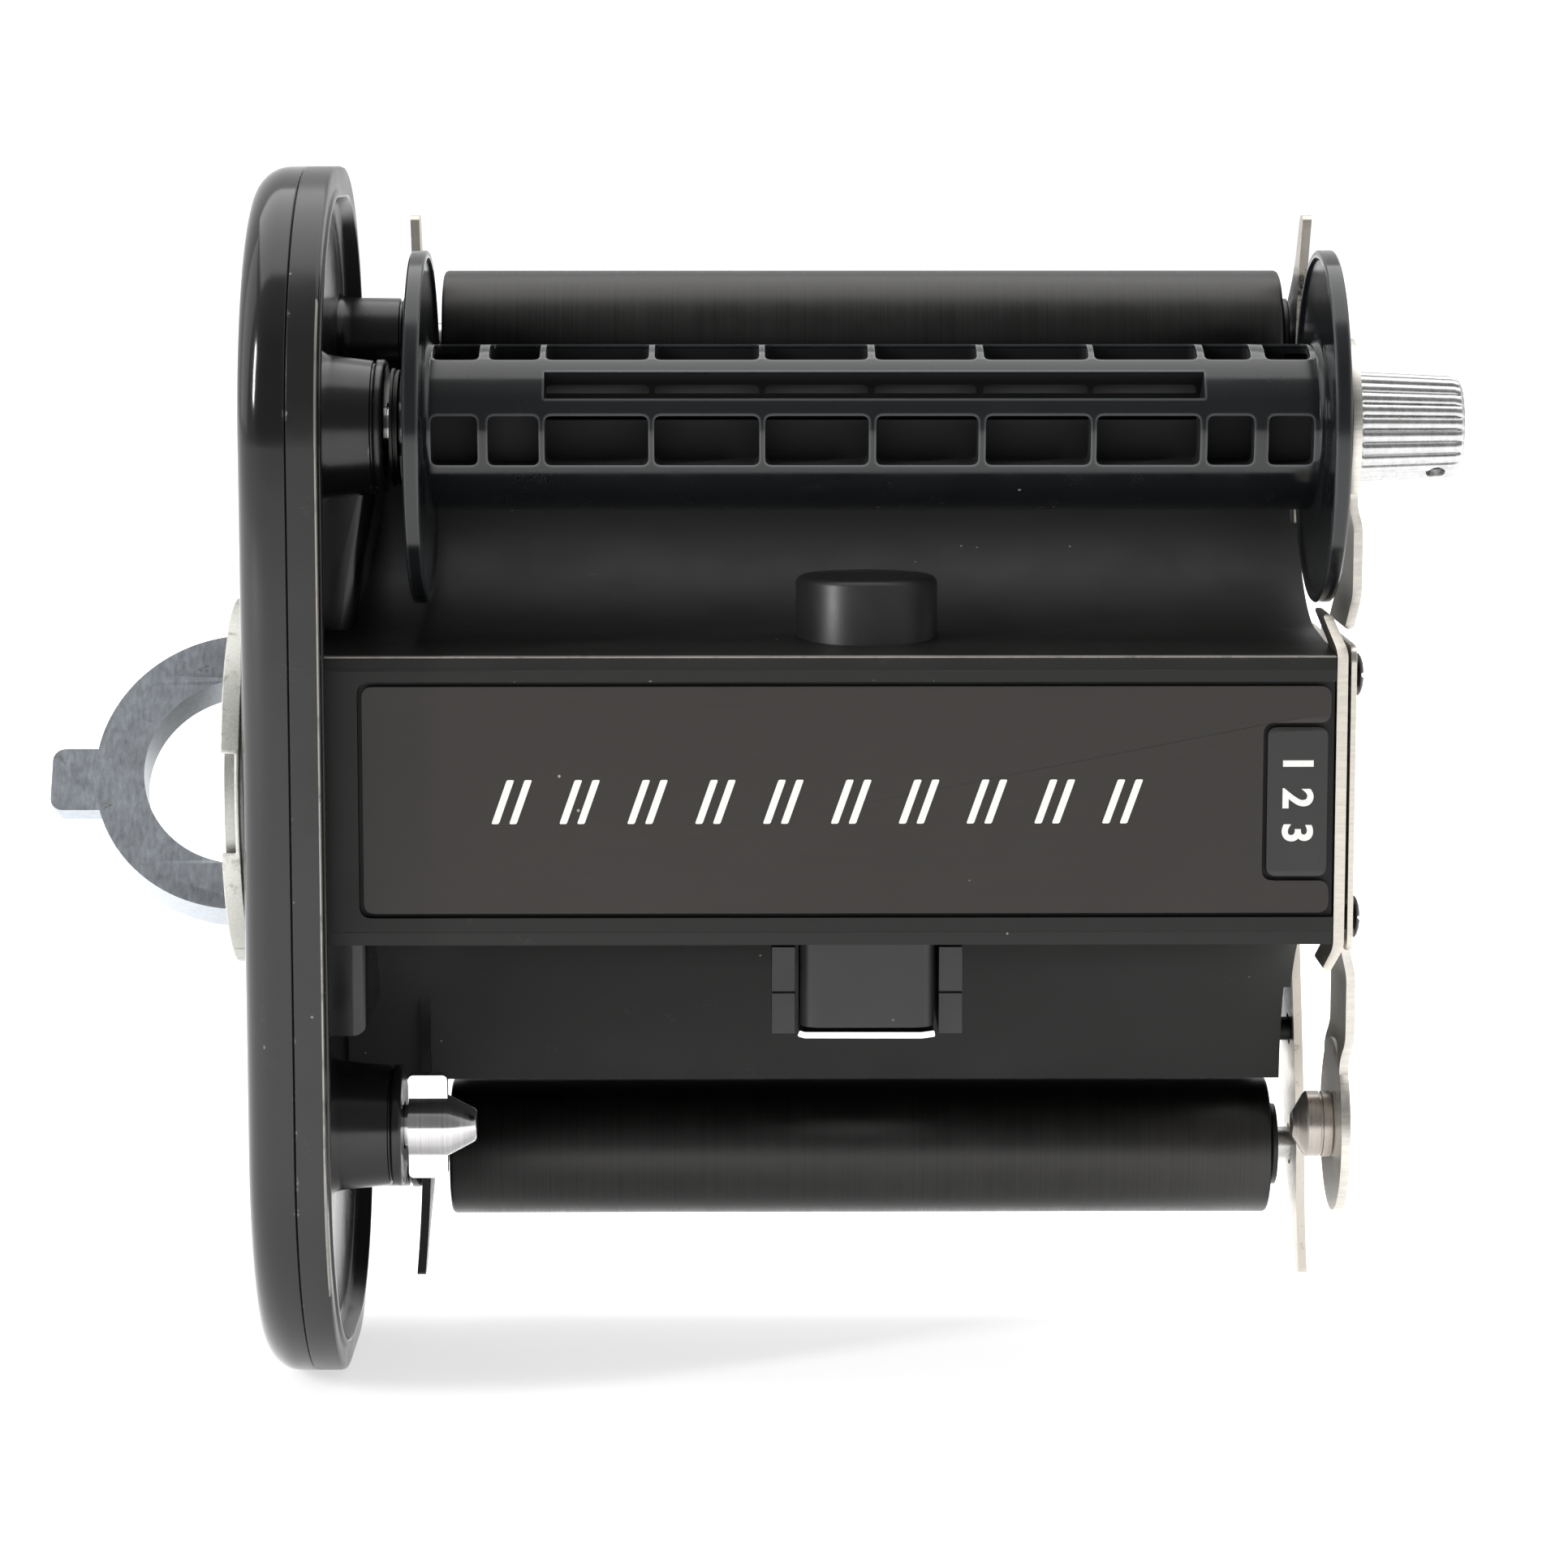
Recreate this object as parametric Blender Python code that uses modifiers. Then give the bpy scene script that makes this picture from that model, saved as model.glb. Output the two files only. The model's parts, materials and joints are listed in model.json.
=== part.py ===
"""Roll-film magazine insert for a medium-format camera, as an assembly of separate pieces.

X runs along the spools, from the end plate (-X) to the winding knob (+X). Y runs from the side that is
loaded (-Y) to the pressure plate (+Y), and Z is up. Dimensions are in millimetres, and the helper
functions turn them into metres. Every place is given from the film centre, the point midway between
the two spool axes, which the empty "film_centre" holds.
"""

import math

import bmesh
import bpy
from mathutils import Matrix, Vector

MM = 0.001
GAP = 0.3                      # air left between neighbouring pieces

# 120 roll-film spool
SPOOL_HALF = 32.75             # half the length over both flanges
FLANGE_R = 12.55
FLANGE_T = 1.15
CORE_R = 5.9
SPOOL_BORE_R = 3.6
SPOOL_BORE_DEPTH = 6.0
PAPER_SLOT_HALF = 23.25
PAPER_SLOT_W = 2.2
PAPER_SLOT_TILT = 34.0         # degrees above the -Y direction
DRIVE_SLOT = (10.4, 2.2, 3.3)  # length, width and depth of the slot in each end
AXIS_Z = 25.4                  # height of the take-up axis; the feed axis is at -AXIS_Z

# end plate: a rounded outline, with wider curves towards -Y than towards +Y
PLATE_HALF_H = 43.85
PLATE_Y = (-16.0, 24.4)
NEAR_CORNER_R = 19.0
FAR_CORNER_R = 15.0
COVER_X = (-43.9, -40.7)
COVER_WALL = 1.1
COVER_EDGE_R = 2.4
FRAME_X = (-40.4, -38.25)
LIP_X = -38.05
PAN_FLOOR_X = -39.5

# bezel, hub and folding key
KEY_Y, KEY_Z = -0.5, 0.1
BEZEL_R = (12.45, 13.1)
BEZEL_X = (-45.5, -44.15)
BEZEL_NOTCH = 7.0
HUB_R = (11.6, 12.15)
HUB_X = (-45.3, -42.0)
HUB_FLOOR_X = -42.6
HUB_SHAFT_R = 3.0
KEY_TURN = 31.0                # degrees from the locked position
KEY_HINGE_X = -44.4
KEY_ARC_OFFSET = 0.6           # the ring's arcs are centred this far out from the hinge
KEY_RING_R = (7.2, 10.7)
KEY_T = 3.3
KEY_HEEL = 1.6
KEY_TAB = (14.65, 4.8, 1.7)     # reach from the hinge, width and thickness
KEY_PIN_R = 0.5
CAM_X = (-41.7, -41.0)

# body casting
BODY_X = (-39.2, 32.0)
BODY_FRONT_Y = -11.7
BODY_REAR_Y = 18.8
BLOCK_HALF_H = 10.15
CRADLE_R = 14.6
CRADLE_END_Z = 24.4
SHEET_SIDE_Y = 12.3            # behind this depth the casting leaves the side sheets room
SHEET_SLOT_X = (-33.95, -32.65)
REAR_RIGHT_X = 31.45
POCKET_Z = 8.3
POCKET_FRONT_Y = -9.6
POCKETS_X = ((-29.0, -9.0), (8.0, 27.6))
NAME_PLATE = (-35.8, 31.7, -7.9, 8.1)          # low x, high x, low z, high z
NUMBER_LABEL = (27.3, 31.5, -5.3, 5.2)
LABEL_T = 0.3

# rollers, axles and side sheets
ROLLER_Y, ROLLER_Z = 18.3, 30.85
ROLLER_R = 5.2
ROLLER_X = (-31.6, 30.9)
AXLE_R = 1.3
AXLE_X = (-36.4, 33.6)
COLLAR_R = 3.1
COLLAR_X = (31.15, 31.6)
SHEET_T = 0.65
SHEET_LEFT_X = -33.3          # middle of the sheet's thickness
SHEET_RIGHT_X = 32.1
SHEET_HALF_H = 40.2
SHEET_PIN_R = 0.9
SHEET_PIN_YZ = (16.5, 21.5)
RIVET_HEAD_R = 1.6
RIVET_DEPTH = 3.0

# pressure plate
PRESSURE_X = (-32.0, 31.1)
PRESSURE_Y = (22.1, 23.3)
PRESSURE_HALF_H = 24.7
SPRING_Y = (19.3, 21.6)

# roll damper above the block and brake shoe below it
DAMPER_X, DAMPER_Y = -0.45, -1.8
DAMPER_R = 5.05
DAMPER_Z = (5.2, 15.0)
DAMPER_BORE_FLOOR = 1.0
SHOE_X = (-5.25, 4.4)
SHOE_Y = (-6.0, 4.0)
SHOE_Z = (-17.1, -5.6)
SHOE_POCKET_TOP = -1.0
STRIP_T = 0.6
GUIDE_W = 1.7
GUIDE_Z = (-17.7, -11.4)

# pegs
PEG_R = 2.2
PEG_TIP_R = 1.25
PEG_SHAFT_R = 1.5
LEFT_PEG_X = (-33.6, -30.75, -28.7)            # shoulder, end of the cylinder, tip
BLADE = (7.6, 1.3)                             # height and thickness of the wings
UPPER_BOSS = (-34.6, 5.1, 4.7)                 # end, radius at the floor, radius at the end
LOWER_BOSS = (-33.95, 4.7, 4.3)
ROLLER_BOSS_R = 3.2
RIGHT_PEG_X = (30.7, 31.75, 33.6)              # tip, start of the cylinder, back face
RIGHT_PEG_R = 2.4
RIGHT_PEG_TIP_R = 1.0

# plates and spring arms at the knob's end
SIDE_PLATE_X = (32.3, 33.05)
SIDE_PLATE_Y = (-11.4, 8.0)
SPRING_PLATE_X = (33.35, 33.75)
SPRING_PLATE_Y = (-11.1, 6.5)
SPRING_PLATE_HALF_H = 10.8
ARM_T = 0.65
ARM_INNER_X = 33.9
ARM_ROOT_Z = 11.3
ARM_STEP_Z = 13.7
ARM_NECK_HALF = 4.4
ARM_END_R = 6.3
SCREW_Y, SCREW_Z = -8.9, 8.6
SCREW_HEAD_R = 1.5
SCREW_SHANK_R = 0.9

# winding knob
KNOB_X = (34.85, 41.95)
KNOB_R = (3.95, 3.6)
KNOB_FLUTES = 24
KNOB_FLUTE_DEPTH = 0.22
KNOB_PIN_R = 0.45
KNOB_PIN_X = 40.1
SHAFT_TIP_X = 29.2
KNOB_PIN_TILT = 30.0

KEY_TIP_X = KEY_HINGE_X - KEY_TAB[0]
FILM_CENTRE = Vector((
    -(KEY_TIP_X + KNOB_X[1]) / 2,
    -(PLATE_Y[0] + PLATE_Y[1]) / 2,
    PLATE_HALF_H,
)) * MM

ALONG_X = Matrix.Rotation(math.pi / 2, 4, "Y")                      # local Z becomes X
OUTLINE_YZ = Matrix(((0, 0, 1, 0), (1, 0, 0, 0), (0, 1, 0, 0), (0, 0, 0, 1)))
OUTLINE_XZ = Matrix.Rotation(math.pi / 2, 4, "X")                   # local Y becomes Z
KEY_FRAME = Matrix.Rotation(math.radians(-90 - KEY_TURN), 4, "X") @ Matrix.Rotation(math.pi, 4, "Z")


def clear_scene():
    for old in list(bpy.data.objects):
        bpy.data.objects.remove(old, do_unlink=True)


def new_collection(name):
    made = bpy.data.collections.new(name)
    bpy.context.scene.collection.children.link(made)
    return made


def finish(name, colour, roughness, metallic):
    made = bpy.data.materials.new(name)
    made.use_nodes = True
    shader = made.node_tree.nodes["Principled BSDF"]
    shader.inputs["Base Color"].default_value = (*colour, 1.0)
    shader.inputs["Roughness"].default_value = roughness
    shader.inputs["Metallic"].default_value = metallic
    return made


clear_scene()
PARTS = new_collection("film_insert")
CUTTERS = new_collection("film_insert_cutters")
CENTRE = bpy.data.objects.new("film_centre", None)
CENTRE.location = FILM_CENTRE
PARTS.objects.link(CENTRE)

PAINT = finish("black_paint", (0.012, 0.012, 0.013), 0.42, 0.0)
GLOSS_PAINT = finish("gloss_black_paint", (0.010, 0.010, 0.011), 0.22, 0.0)
NAME_FINISH = finish("name_plate_black", (0.055, 0.048, 0.043), 0.38, 0.2)
BLACK_PLASTIC = finish("black_plastic", (0.014, 0.014, 0.015), 0.35, 0.0)
GLOSS_PLASTIC = finish("gloss_black_plastic", (0.008, 0.009, 0.010), 0.16, 0.0)
ANODISED = finish("black_anodised", (0.012, 0.012, 0.012), 0.30, 0.4)
BEZEL_GREY = finish("cast_grey", (0.45, 0.45, 0.43), 0.45, 0.8)
KEY_STEEL = finish("key_steel", (0.32, 0.35, 0.39), 0.36, 0.9)
CHROME = finish("chrome", (0.75, 0.75, 0.76), 0.10, 1.0)
NICKEL = finish("nickel", (0.66, 0.60, 0.54), 0.25, 1.0)
STEEL = finish("steel", (0.60, 0.60, 0.59), 0.28, 1.0)
BLACK_STEEL = finish("black_steel", (0.02, 0.02, 0.021), 0.35, 0.8)


def place(name, data, material, matrix, helper=False):
    """An object of this mesh or curve at this place in the film centre's frame."""
    made = bpy.data.objects.new(name, data)
    (CUTTERS if helper else PARTS).objects.link(made)
    made.parent = CENTRE
    made.matrix_local = matrix
    if helper:
        made.hide_render = True
        made.display_type = "WIRE"
    else:
        data.materials.append(material)
    return made


def at(x, y, z, turn=None):
    """The matrix that moves a shape to this place, in millimetres, after turning it."""
    return Matrix.Translation(Vector((x, y, z)) * MM) @ (turn or Matrix.Identity(4))


def mesh_from(name, bm, sharp=30):
    bmesh.ops.recalc_face_normals(bm, faces=bm.faces)
    mesh = bpy.data.meshes.new(name)
    bm.to_mesh(mesh)
    bm.free()
    mesh.shade_smooth()
    mesh.set_sharp_from_angle(angle=math.radians(sharp))
    return mesh


def box_mesh(name, low, high, bevel=0.0):
    """A box between two corners, with all its edges bevelled where asked."""
    size = [h - l for l, h in zip(low, high)]
    middle = [(h + l) / 2 for l, h in zip(low, high)]
    bm = bmesh.new()
    bmesh.ops.create_cube(bm, size=1.0)
    bmesh.ops.scale(bm, vec=Vector(size) * MM, verts=bm.verts)
    bmesh.ops.translate(bm, vec=Vector(middle) * MM, verts=bm.verts)
    if bevel:
        bmesh.ops.bevel(bm, geom=bm.edges[:], offset=bevel * MM, segments=2, profile=0.5, affect="EDGES")
    return mesh_from(name, bm)


def rod_mesh(name, low, high, radius, end_radius=None, segments=28):
    """A cylinder or cone along local Z, from low to high."""
    bm = bmesh.new()
    bmesh.ops.create_cone(
        bm,
        cap_ends=True,
        segments=segments,
        radius1=radius * MM,
        radius2=(radius if end_radius is None else end_radius) * MM,
        depth=(high - low) * MM,
    )
    bmesh.ops.translate(bm, vec=(0, 0, (high + low) / 2 * MM), verts=bm.verts)
    return mesh_from(name, bm)


def turned(name, material, matrix, profile, closed=False, segments=32, helper=False):
    """A profile of (place along local Z, radius), turned about local Z by a Screw modifier."""
    bm = bmesh.new()
    points = [bm.verts.new((r * MM, 0, z * MM)) for z, r in profile]
    for a, b in zip(points, points[1:] + points[:1] if closed else points[1:]):
        bm.edges.new((a, b))
    mesh = bpy.data.meshes.new(name)
    bm.to_mesh(mesh)
    bm.free()
    made = place(name, mesh, material, matrix, helper)
    screw = made.modifiers.new("turn", "SCREW")
    screw.axis = "Z"
    screw.steps = segments
    screw.render_steps = segments
    screw.use_merge_vertices = True
    screw.merge_threshold = 1e-5
    screw.use_smooth_shade = True
    return made


def outline_mesh(name, loops, thickness):
    """Flat outlines, the first the outside and the others holes, made a solid of this thickness."""
    curve = bpy.data.curves.new(name, "CURVE")
    curve.dimensions = "2D"
    curve.fill_mode = "BOTH"
    curve.extrude = thickness / 2 * MM
    for loop in loops:
        spline = curve.splines.new("POLY")
        spline.points.add(len(loop) - 1)
        for point, (u, v) in zip(spline.points, loop):
            point.co = (u * MM, v * MM, 0, 1)
        spline.use_cyclic_u = True
    source = bpy.data.objects.new(name, curve)
    CUTTERS.objects.link(source)
    bpy.context.view_layer.update()
    graph = bpy.context.evaluated_depsgraph_get()
    mesh = bpy.data.meshes.new_from_object(source.evaluated_get(graph))
    bm = bmesh.new()
    bm.from_mesh(mesh)
    bmesh.ops.remove_doubles(bm, verts=bm.verts, dist=1e-6)
    bpy.data.objects.remove(source, do_unlink=True)
    bpy.data.curves.remove(curve)
    return mesh_from(name, bm)


def modify(made, operation, name, mesh, matrix=None):
    """Adds a Boolean of this mesh to an object. The matrix is in the film centre's frame."""
    tool = place(f"{made.name}.{name}", mesh, None, matrix or Matrix.Identity(4), helper=True)
    step = made.modifiers.new(name, "BOOLEAN")
    step.operation = operation
    step.object = tool
    step.solver = "EXACT"


def cut(made, name, mesh, matrix=None):
    modify(made, "DIFFERENCE", name, mesh, matrix)


def join(made, name, mesh, matrix=None):
    modify(made, "UNION", name, mesh, matrix)


def arc(centre, radius, start, end, count):
    """Points on an arc, in degrees from the first coordinate's axis, both ends included."""
    step = (end - start) / count
    angles = [math.radians(start + i * step) for i in range(count + 1)]
    return [(centre[0] + radius * math.cos(a), centre[1] + radius * math.sin(a)) for a in angles]


def circle(centre, radius, count=20):
    return arc(centre, radius, 0, 360, count)[:-1]


def d_outline(inset):
    """The end plate's outline, moved inwards by inset. The number of points never changes."""
    near, far = PLATE_Y[0] + NEAR_CORNER_R, PLATE_Y[1] - FAR_CORNER_R
    near_z, far_z = PLATE_HALF_H - NEAR_CORNER_R, PLATE_HALF_H - FAR_CORNER_R
    near_r, far_r = NEAR_CORNER_R - inset, FAR_CORNER_R - inset
    return (
        arc((far, far_z), far_r, 0, 90, 6)
        + arc((near, near_z), near_r, 90, 180, 10)
        + arc((near, -near_z), near_r, 180, 270, 10)
        + arc((far, -far_z), far_r, 270, 360, 6)
    )


def d_turned(name, profile):
    """A solid whose wall follows the D outline through each (inset, x) of the profile, capped at both ends."""
    bm = bmesh.new()
    rings = []
    for inset, x in profile:
        rings.append([bm.verts.new(Vector((x, y, z)) * MM) for y, z in d_outline(inset)])
    for low, high in zip(rings, rings[1:]):
        for i in range(len(low)):
            j = (i + 1) % len(low)
            bm.faces.new((low[i], low[j], high[j], high[i]))
    bm.faces.new(rings[0])
    bm.faces.new(rings[-1])
    return mesh_from(name, bm)


def end_cover():
    edge = COVER_EDGE_R
    dome = [(edge - u, COVER_X[0] + edge - v) for u, v in arc((0, 0), edge, 90, 0, 4)]
    inner_edge = edge - COVER_WALL + 0.4
    inner_x = COVER_X[0] + COVER_WALL
    inside = [
        (COVER_WALL + inner_edge - u, inner_x + inner_edge - v)
        for u, v in arc((0, 0), inner_edge, 0, 90, 3)
    ]
    profile = dome + [(0, COVER_X[1]), (COVER_WALL, COVER_X[1])] + inside
    made = place("end_cover", d_turned("end_cover", profile), GLOSS_PAINT, Matrix.Identity(4))
    hole = rod_mesh("hub_hole", COVER_X[0] - 1, COVER_X[1], BEZEL_R[0], segments=40)
    cut(made, "hub_hole", hole, at(0, KEY_Y, KEY_Z, ALONG_X))


def end_frame():
    profile = [
        (0, FRAME_X[0]),
        (0, FRAME_X[1] - 0.3),
        (0.3, FRAME_X[1]),
        (1.5, FRAME_X[1]),
        (1.5, LIP_X),
        (2.2, LIP_X),
        (2.4, PAN_FLOOR_X),
    ]
    made = place("end_frame", d_turned("end_frame", profile), PAINT, Matrix.Identity(4))
    root = PAN_FLOOR_X - 0.4
    for name, sign, (end, wide, narrow) in (("upper_boss", 1, UPPER_BOSS), ("lower_boss", -1, LOWER_BOSS)):
        boss_at = at(0, 0, sign * AXIS_Z, ALONG_X)
        join(made, name, rod_mesh(name, root, end, wide, narrow), boss_at)
        bore = rod_mesh(f"{name}_bore", PAN_FLOOR_X - 0.1, end + 1, PEG_SHAFT_R + GAP)
        cut(made, f"{name}_bore", bore, boss_at)
        roller_at = at(0, ROLLER_Y, sign * ROLLER_Z, ALONG_X)
        boss = rod_mesh(f"{name}_roller", root, SHEET_LEFT_X - SHEET_T / 2 - GAP, ROLLER_BOSS_R)
        join(made, f"{name}_roller", boss, roller_at)
        bore = rod_mesh(f"{name}_axle_bore", AXLE_X[0] - GAP, SHEET_LEFT_X, AXLE_R + GAP)
        cut(made, f"{name}_axle_bore", bore, roller_at)
    for name, reach, z_low, z_high in (("upper_web", 3.9, 11.9, 22.0), ("lower_web", 2.9, -22.0, -11.9)):
        web = box_mesh(name, (root, -2.5, z_low), (PAN_FLOOR_X + reach, 4.0, z_high), bevel=0.5)
        join(made, name, web)


def key_bezel():
    profile = [
        (BEZEL_X[1], BEZEL_R[0]),
        (BEZEL_X[1], BEZEL_R[1]),
        (BEZEL_X[0] + 0.2, BEZEL_R[1]),
        (BEZEL_X[0], BEZEL_R[1] - 0.2),
        (BEZEL_X[0], BEZEL_R[0]),
    ]
    here = at(0, KEY_Y, KEY_Z, ALONG_X)
    made = turned("key_bezel", BEZEL_GREY, here, profile, closed=True, segments=48)
    low = (BEZEL_X[0] - 1, KEY_Y - BEZEL_R[1] - 1, KEY_Z - BEZEL_NOTCH / 2)
    high = (BEZEL_X[1] - 0.35, KEY_Y - BEZEL_R[0] / 2, KEY_Z + BEZEL_NOTCH / 2)
    cut(made, "notch", box_mesh("notch", low, high))


def key_hub():
    profile = [
        (HUB_X[1] + 1.0, 0),
        (HUB_X[1] + 1.0, HUB_SHAFT_R),
        (HUB_X[1], HUB_SHAFT_R),
        (HUB_X[1], HUB_R[1]),
        (HUB_X[0], HUB_R[1]),
        (HUB_X[0], HUB_R[0]),
        (HUB_FLOOR_X, HUB_R[0]),
        (HUB_FLOOR_X, 0),
    ]
    made = turned("key_hub", BEZEL_GREY, at(0, KEY_Y, KEY_Z, ALONG_X), profile, segments=40)
    bore = rod_mesh("pin_bore", -13, 13, KEY_PIN_R + 0.25, segments=16)
    cut(made, "pin_bore", bore, at(KEY_HINGE_X, KEY_Y, KEY_Z, KEY_FRAME @ OUTLINE_XZ))


def key_pin():
    pin = rod_mesh("key_pin", -11.7, 11.7, KEY_PIN_R, segments=16)
    place("key_pin", pin, STEEL, at(KEY_HINGE_X, KEY_Y, KEY_Z, KEY_FRAME @ OUTLINE_XZ))


def lock_cam():
    low, high = CAM_X
    ends = [(side * 9.0, 0) for side in (1, -1)]
    loop = arc(ends[0], 4.5, -90, 90, 8) + arc(ends[1], 4.5, 90, 270, 8)
    mesh = outline_mesh("lock_cam", [loop, circle((0, 0), HUB_SHAFT_R + 0.2, 24)], high - low)
    turn = Matrix.Rotation(math.radians(KEY_TURN), 4, "X") @ OUTLINE_YZ
    place("lock_cam", mesh, STEEL, at((low + high) / 2, KEY_Y, KEY_Z, turn))


def key_ring():
    """A half ring in the local XY plane, X outwards from the hinge and Y along it."""
    inner, outer = KEY_RING_R
    outline = (
        [(-KEY_HEEL, -outer)]
        + arc((KEY_ARC_OFFSET, 0), outer, -90, 90, 24)
        + [(-KEY_HEEL, outer), (-KEY_HEEL, inner)]
        + arc((KEY_ARC_OFFSET, 0), inner, 90, -90, 18)
        + [(-KEY_HEEL, -inner)]
    )
    here = at(KEY_HINGE_X, KEY_Y, KEY_Z, KEY_FRAME)
    mesh = outline_mesh("key_ring", [outline], KEY_T)
    bm = bmesh.new()
    bm.from_mesh(mesh)
    heel = [e for e in bm.edges if all(v.co.x < (0.1 - KEY_HEEL) * MM for v in e.verts)]
    heel = [e for e in heel if abs(e.verts[0].co.z - e.verts[1].co.z) < 0.1 * MM]
    bmesh.ops.bevel(bm, geom=heel, offset=1.3 * MM, segments=3, profile=0.5, affect="EDGES")
    bm.to_mesh(mesh)
    bm.free()
    made = place("key_ring", mesh, KEY_STEEL, here)
    reach, width, thick = KEY_TAB
    low = (KEY_ARC_OFFSET + outer - 1.0, -width / 2, KEY_T / 2 - thick)
    tab = box_mesh("tab", low, (reach, width / 2, KEY_T / 2 - 0.02), bevel=0.3)
    join(made, "tab", tab, here)
    bore = rod_mesh("pin_bore", -13, 13, KEY_PIN_R + 0.3, segments=16)
    cut(made, "pin_bore", bore, here @ OUTLINE_XZ)


def body_outline():
    """The casting's section: a block towards -Y, a cradle above and below it, and a flat rear."""
    top = arc((0, AXIS_Z), CRADLE_R, -90, math.degrees(math.asin((CRADLE_END_Z - AXIS_Z) / CRADLE_R)), 9)
    upper = [(BODY_FRONT_Y, BLOCK_HALF_H)] + top + [(BODY_REAR_Y, CRADLE_END_Z)]
    return upper + [(y, -z) for y, z in reversed(upper)]


def body_block():
    low_x, high_x = BODY_X
    mesh = outline_mesh("body_block", [body_outline()], high_x - low_x)
    bm = bmesh.new()
    bm.from_mesh(mesh)
    front = [e for e in bm.edges if all(v.co.x < (BODY_FRONT_Y + 0.1) * MM for v in e.verts)]
    long_front = [e for e in front if abs(e.verts[0].co.z - e.verts[1].co.z) > 10 * MM]
    bmesh.ops.bevel(bm, geom=long_front, offset=0.7 * MM, segments=2, profile=0.5, affect="EDGES")
    bm.to_mesh(mesh)
    bm.free()
    made = place("body_block", mesh, PAINT, at((low_x + high_x) / 2, 0, 0, OUTLINE_YZ))
    tall = CRADLE_END_Z + 2
    rear = BODY_REAR_Y + 2
    slot_low, slot_high = SHEET_SLOT_X
    slot = box_mesh("sheet_slot", (slot_low, SHEET_SIDE_Y, -tall), (slot_high, rear, tall))
    cut(made, "sheet_slot", slot)
    cut(made, "right_side", box_mesh("right_side", (REAR_RIGHT_X, SHEET_SIDE_Y, -tall), (high_x + 1, rear, tall)))
    for number, (x_low, x_high) in enumerate(POCKETS_X):
        low, high = (x_low, POCKET_FRONT_Y, -POCKET_Z), (x_high, rear, POCKET_Z)
        cut(made, f"pocket_{number}", box_mesh(f"pocket_{number}", low, high))
    name_low, name_high, z_low, z_high = NAME_PLATE
    low = (name_low - GAP, BODY_FRONT_Y - 1, z_low - GAP)
    high = (name_high + GAP / 2, BODY_FRONT_Y + LABEL_T + GAP + 0.1, z_high + GAP)
    cut(made, "plate_recess", box_mesh("plate_recess", low, high))
    bore = rod_mesh("damper_bore", DAMPER_BORE_FLOOR, 20, DAMPER_R + GAP, segments=36)
    cut(made, "damper_bore", bore, at(DAMPER_X, DAMPER_Y, 0))
    low = (SHOE_X[0] - GAP, SHOE_Y[0] - GAP, -20)
    high = (SHOE_X[1] + GAP, SHOE_Y[1] + GAP, SHOE_POCKET_TOP)
    cut(made, "shoe_pocket", box_mesh("shoe_pocket", low, high))
    for number, (y, z) in enumerate(sheet_pin_places()):
        hole = rod_mesh(f"pin_hole_{number}", -45, 45, SHEET_PIN_R + GAP, segments=16)
        cut(made, f"pin_hole_{number}", hole, at(0, y, z, ALONG_X))
        well = rod_mesh(f"rivet_well_{number}", low_x - 1, slot_high, RIVET_HEAD_R + GAP, segments=20)
        cut(made, f"rivet_well_{number}", well, at(0, y, z, ALONG_X))
    for name, z in (("upper_screw_hole", SCREW_Z), ("lower_screw_hole", -SCREW_Z)):
        hole = rod_mesh(name, high_x - 4, high_x + 1, SCREW_SHANK_R + GAP, segments=16)
        cut(made, name, hole, at(0, SCREW_Y, z, ALONG_X))


def sheet_pin_places():
    y, z = SHEET_PIN_YZ
    return ((y, z), (y, -z))


def labels():
    low_x, high_x, low_z, high_z = NAME_PLATE
    cut_x = NUMBER_LABEL[0] - GAP
    cut_low, cut_high = NUMBER_LABEL[2] - GAP, NUMBER_LABEL[3] + GAP
    corner = 0.8
    outline = (
        arc((low_x + corner, high_z - corner), corner, 90, 180, 3)
        + arc((low_x + corner, low_z + corner), corner, 180, 270, 3)
        + [(high_x, low_z), (high_x, cut_low), (cut_x, cut_low), (cut_x, cut_high), (high_x, cut_high)]
        + [(high_x, high_z)]
    )
    depth = BODY_FRONT_Y + LABEL_T / 2 + 0.1
    plate = outline_mesh("name_plate", [outline], LABEL_T)
    place("name_plate", plate, NAME_FINISH, at(0, depth, 0, OUTLINE_XZ))
    x0, x1, z0, z1 = NUMBER_LABEL
    label = outline_mesh("number_label", [[(x0, z0), (x1, z0), (x1, z1), (x0, z1)]], LABEL_T)
    place("number_label", label, GLOSS_PAINT, at(0, depth, 0, OUTLINE_XZ))


def take_up_spool():
    half, inner = SPOOL_HALF, SPOOL_HALF - FLANGE_T
    bore_end = half - SPOOL_BORE_DEPTH
    right = [(bore_end, 0), (bore_end, SPOOL_BORE_R), (half, SPOOL_BORE_R), (half, FLANGE_R)]
    right += [(inner, FLANGE_R), (inner, CORE_R)]
    profile = right + [(-x, r) for x, r in reversed(right)]
    made = turned("take_up_spool", GLOSS_PLASTIC, at(0, 0, AXIS_Z, ALONG_X), profile, segments=40)
    length, width, depth = DRIVE_SLOT
    for name, x_low, x_high in (("left_slot", -half - 1, depth - half), ("right_slot", half - depth, half + 1)):
        slot = box_mesh(name, (x_low, -width / 2, -length / 2), (x_high, width / 2, length / 2))
        cut(made, name, slot, at(0, 0, AXIS_Z))
    low = (-PAPER_SLOT_HALF, -CORE_R - 1, -PAPER_SLOT_W / 2)
    high = (PAPER_SLOT_HALF, CORE_R + 1, PAPER_SLOT_W / 2)
    tilt = Matrix.Rotation(math.radians(-PAPER_SLOT_TILT), 4, "X")
    cut(made, "paper_slot", box_mesh("paper_slot", low, high), at(0, 0, AXIS_Z, tilt))


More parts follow.
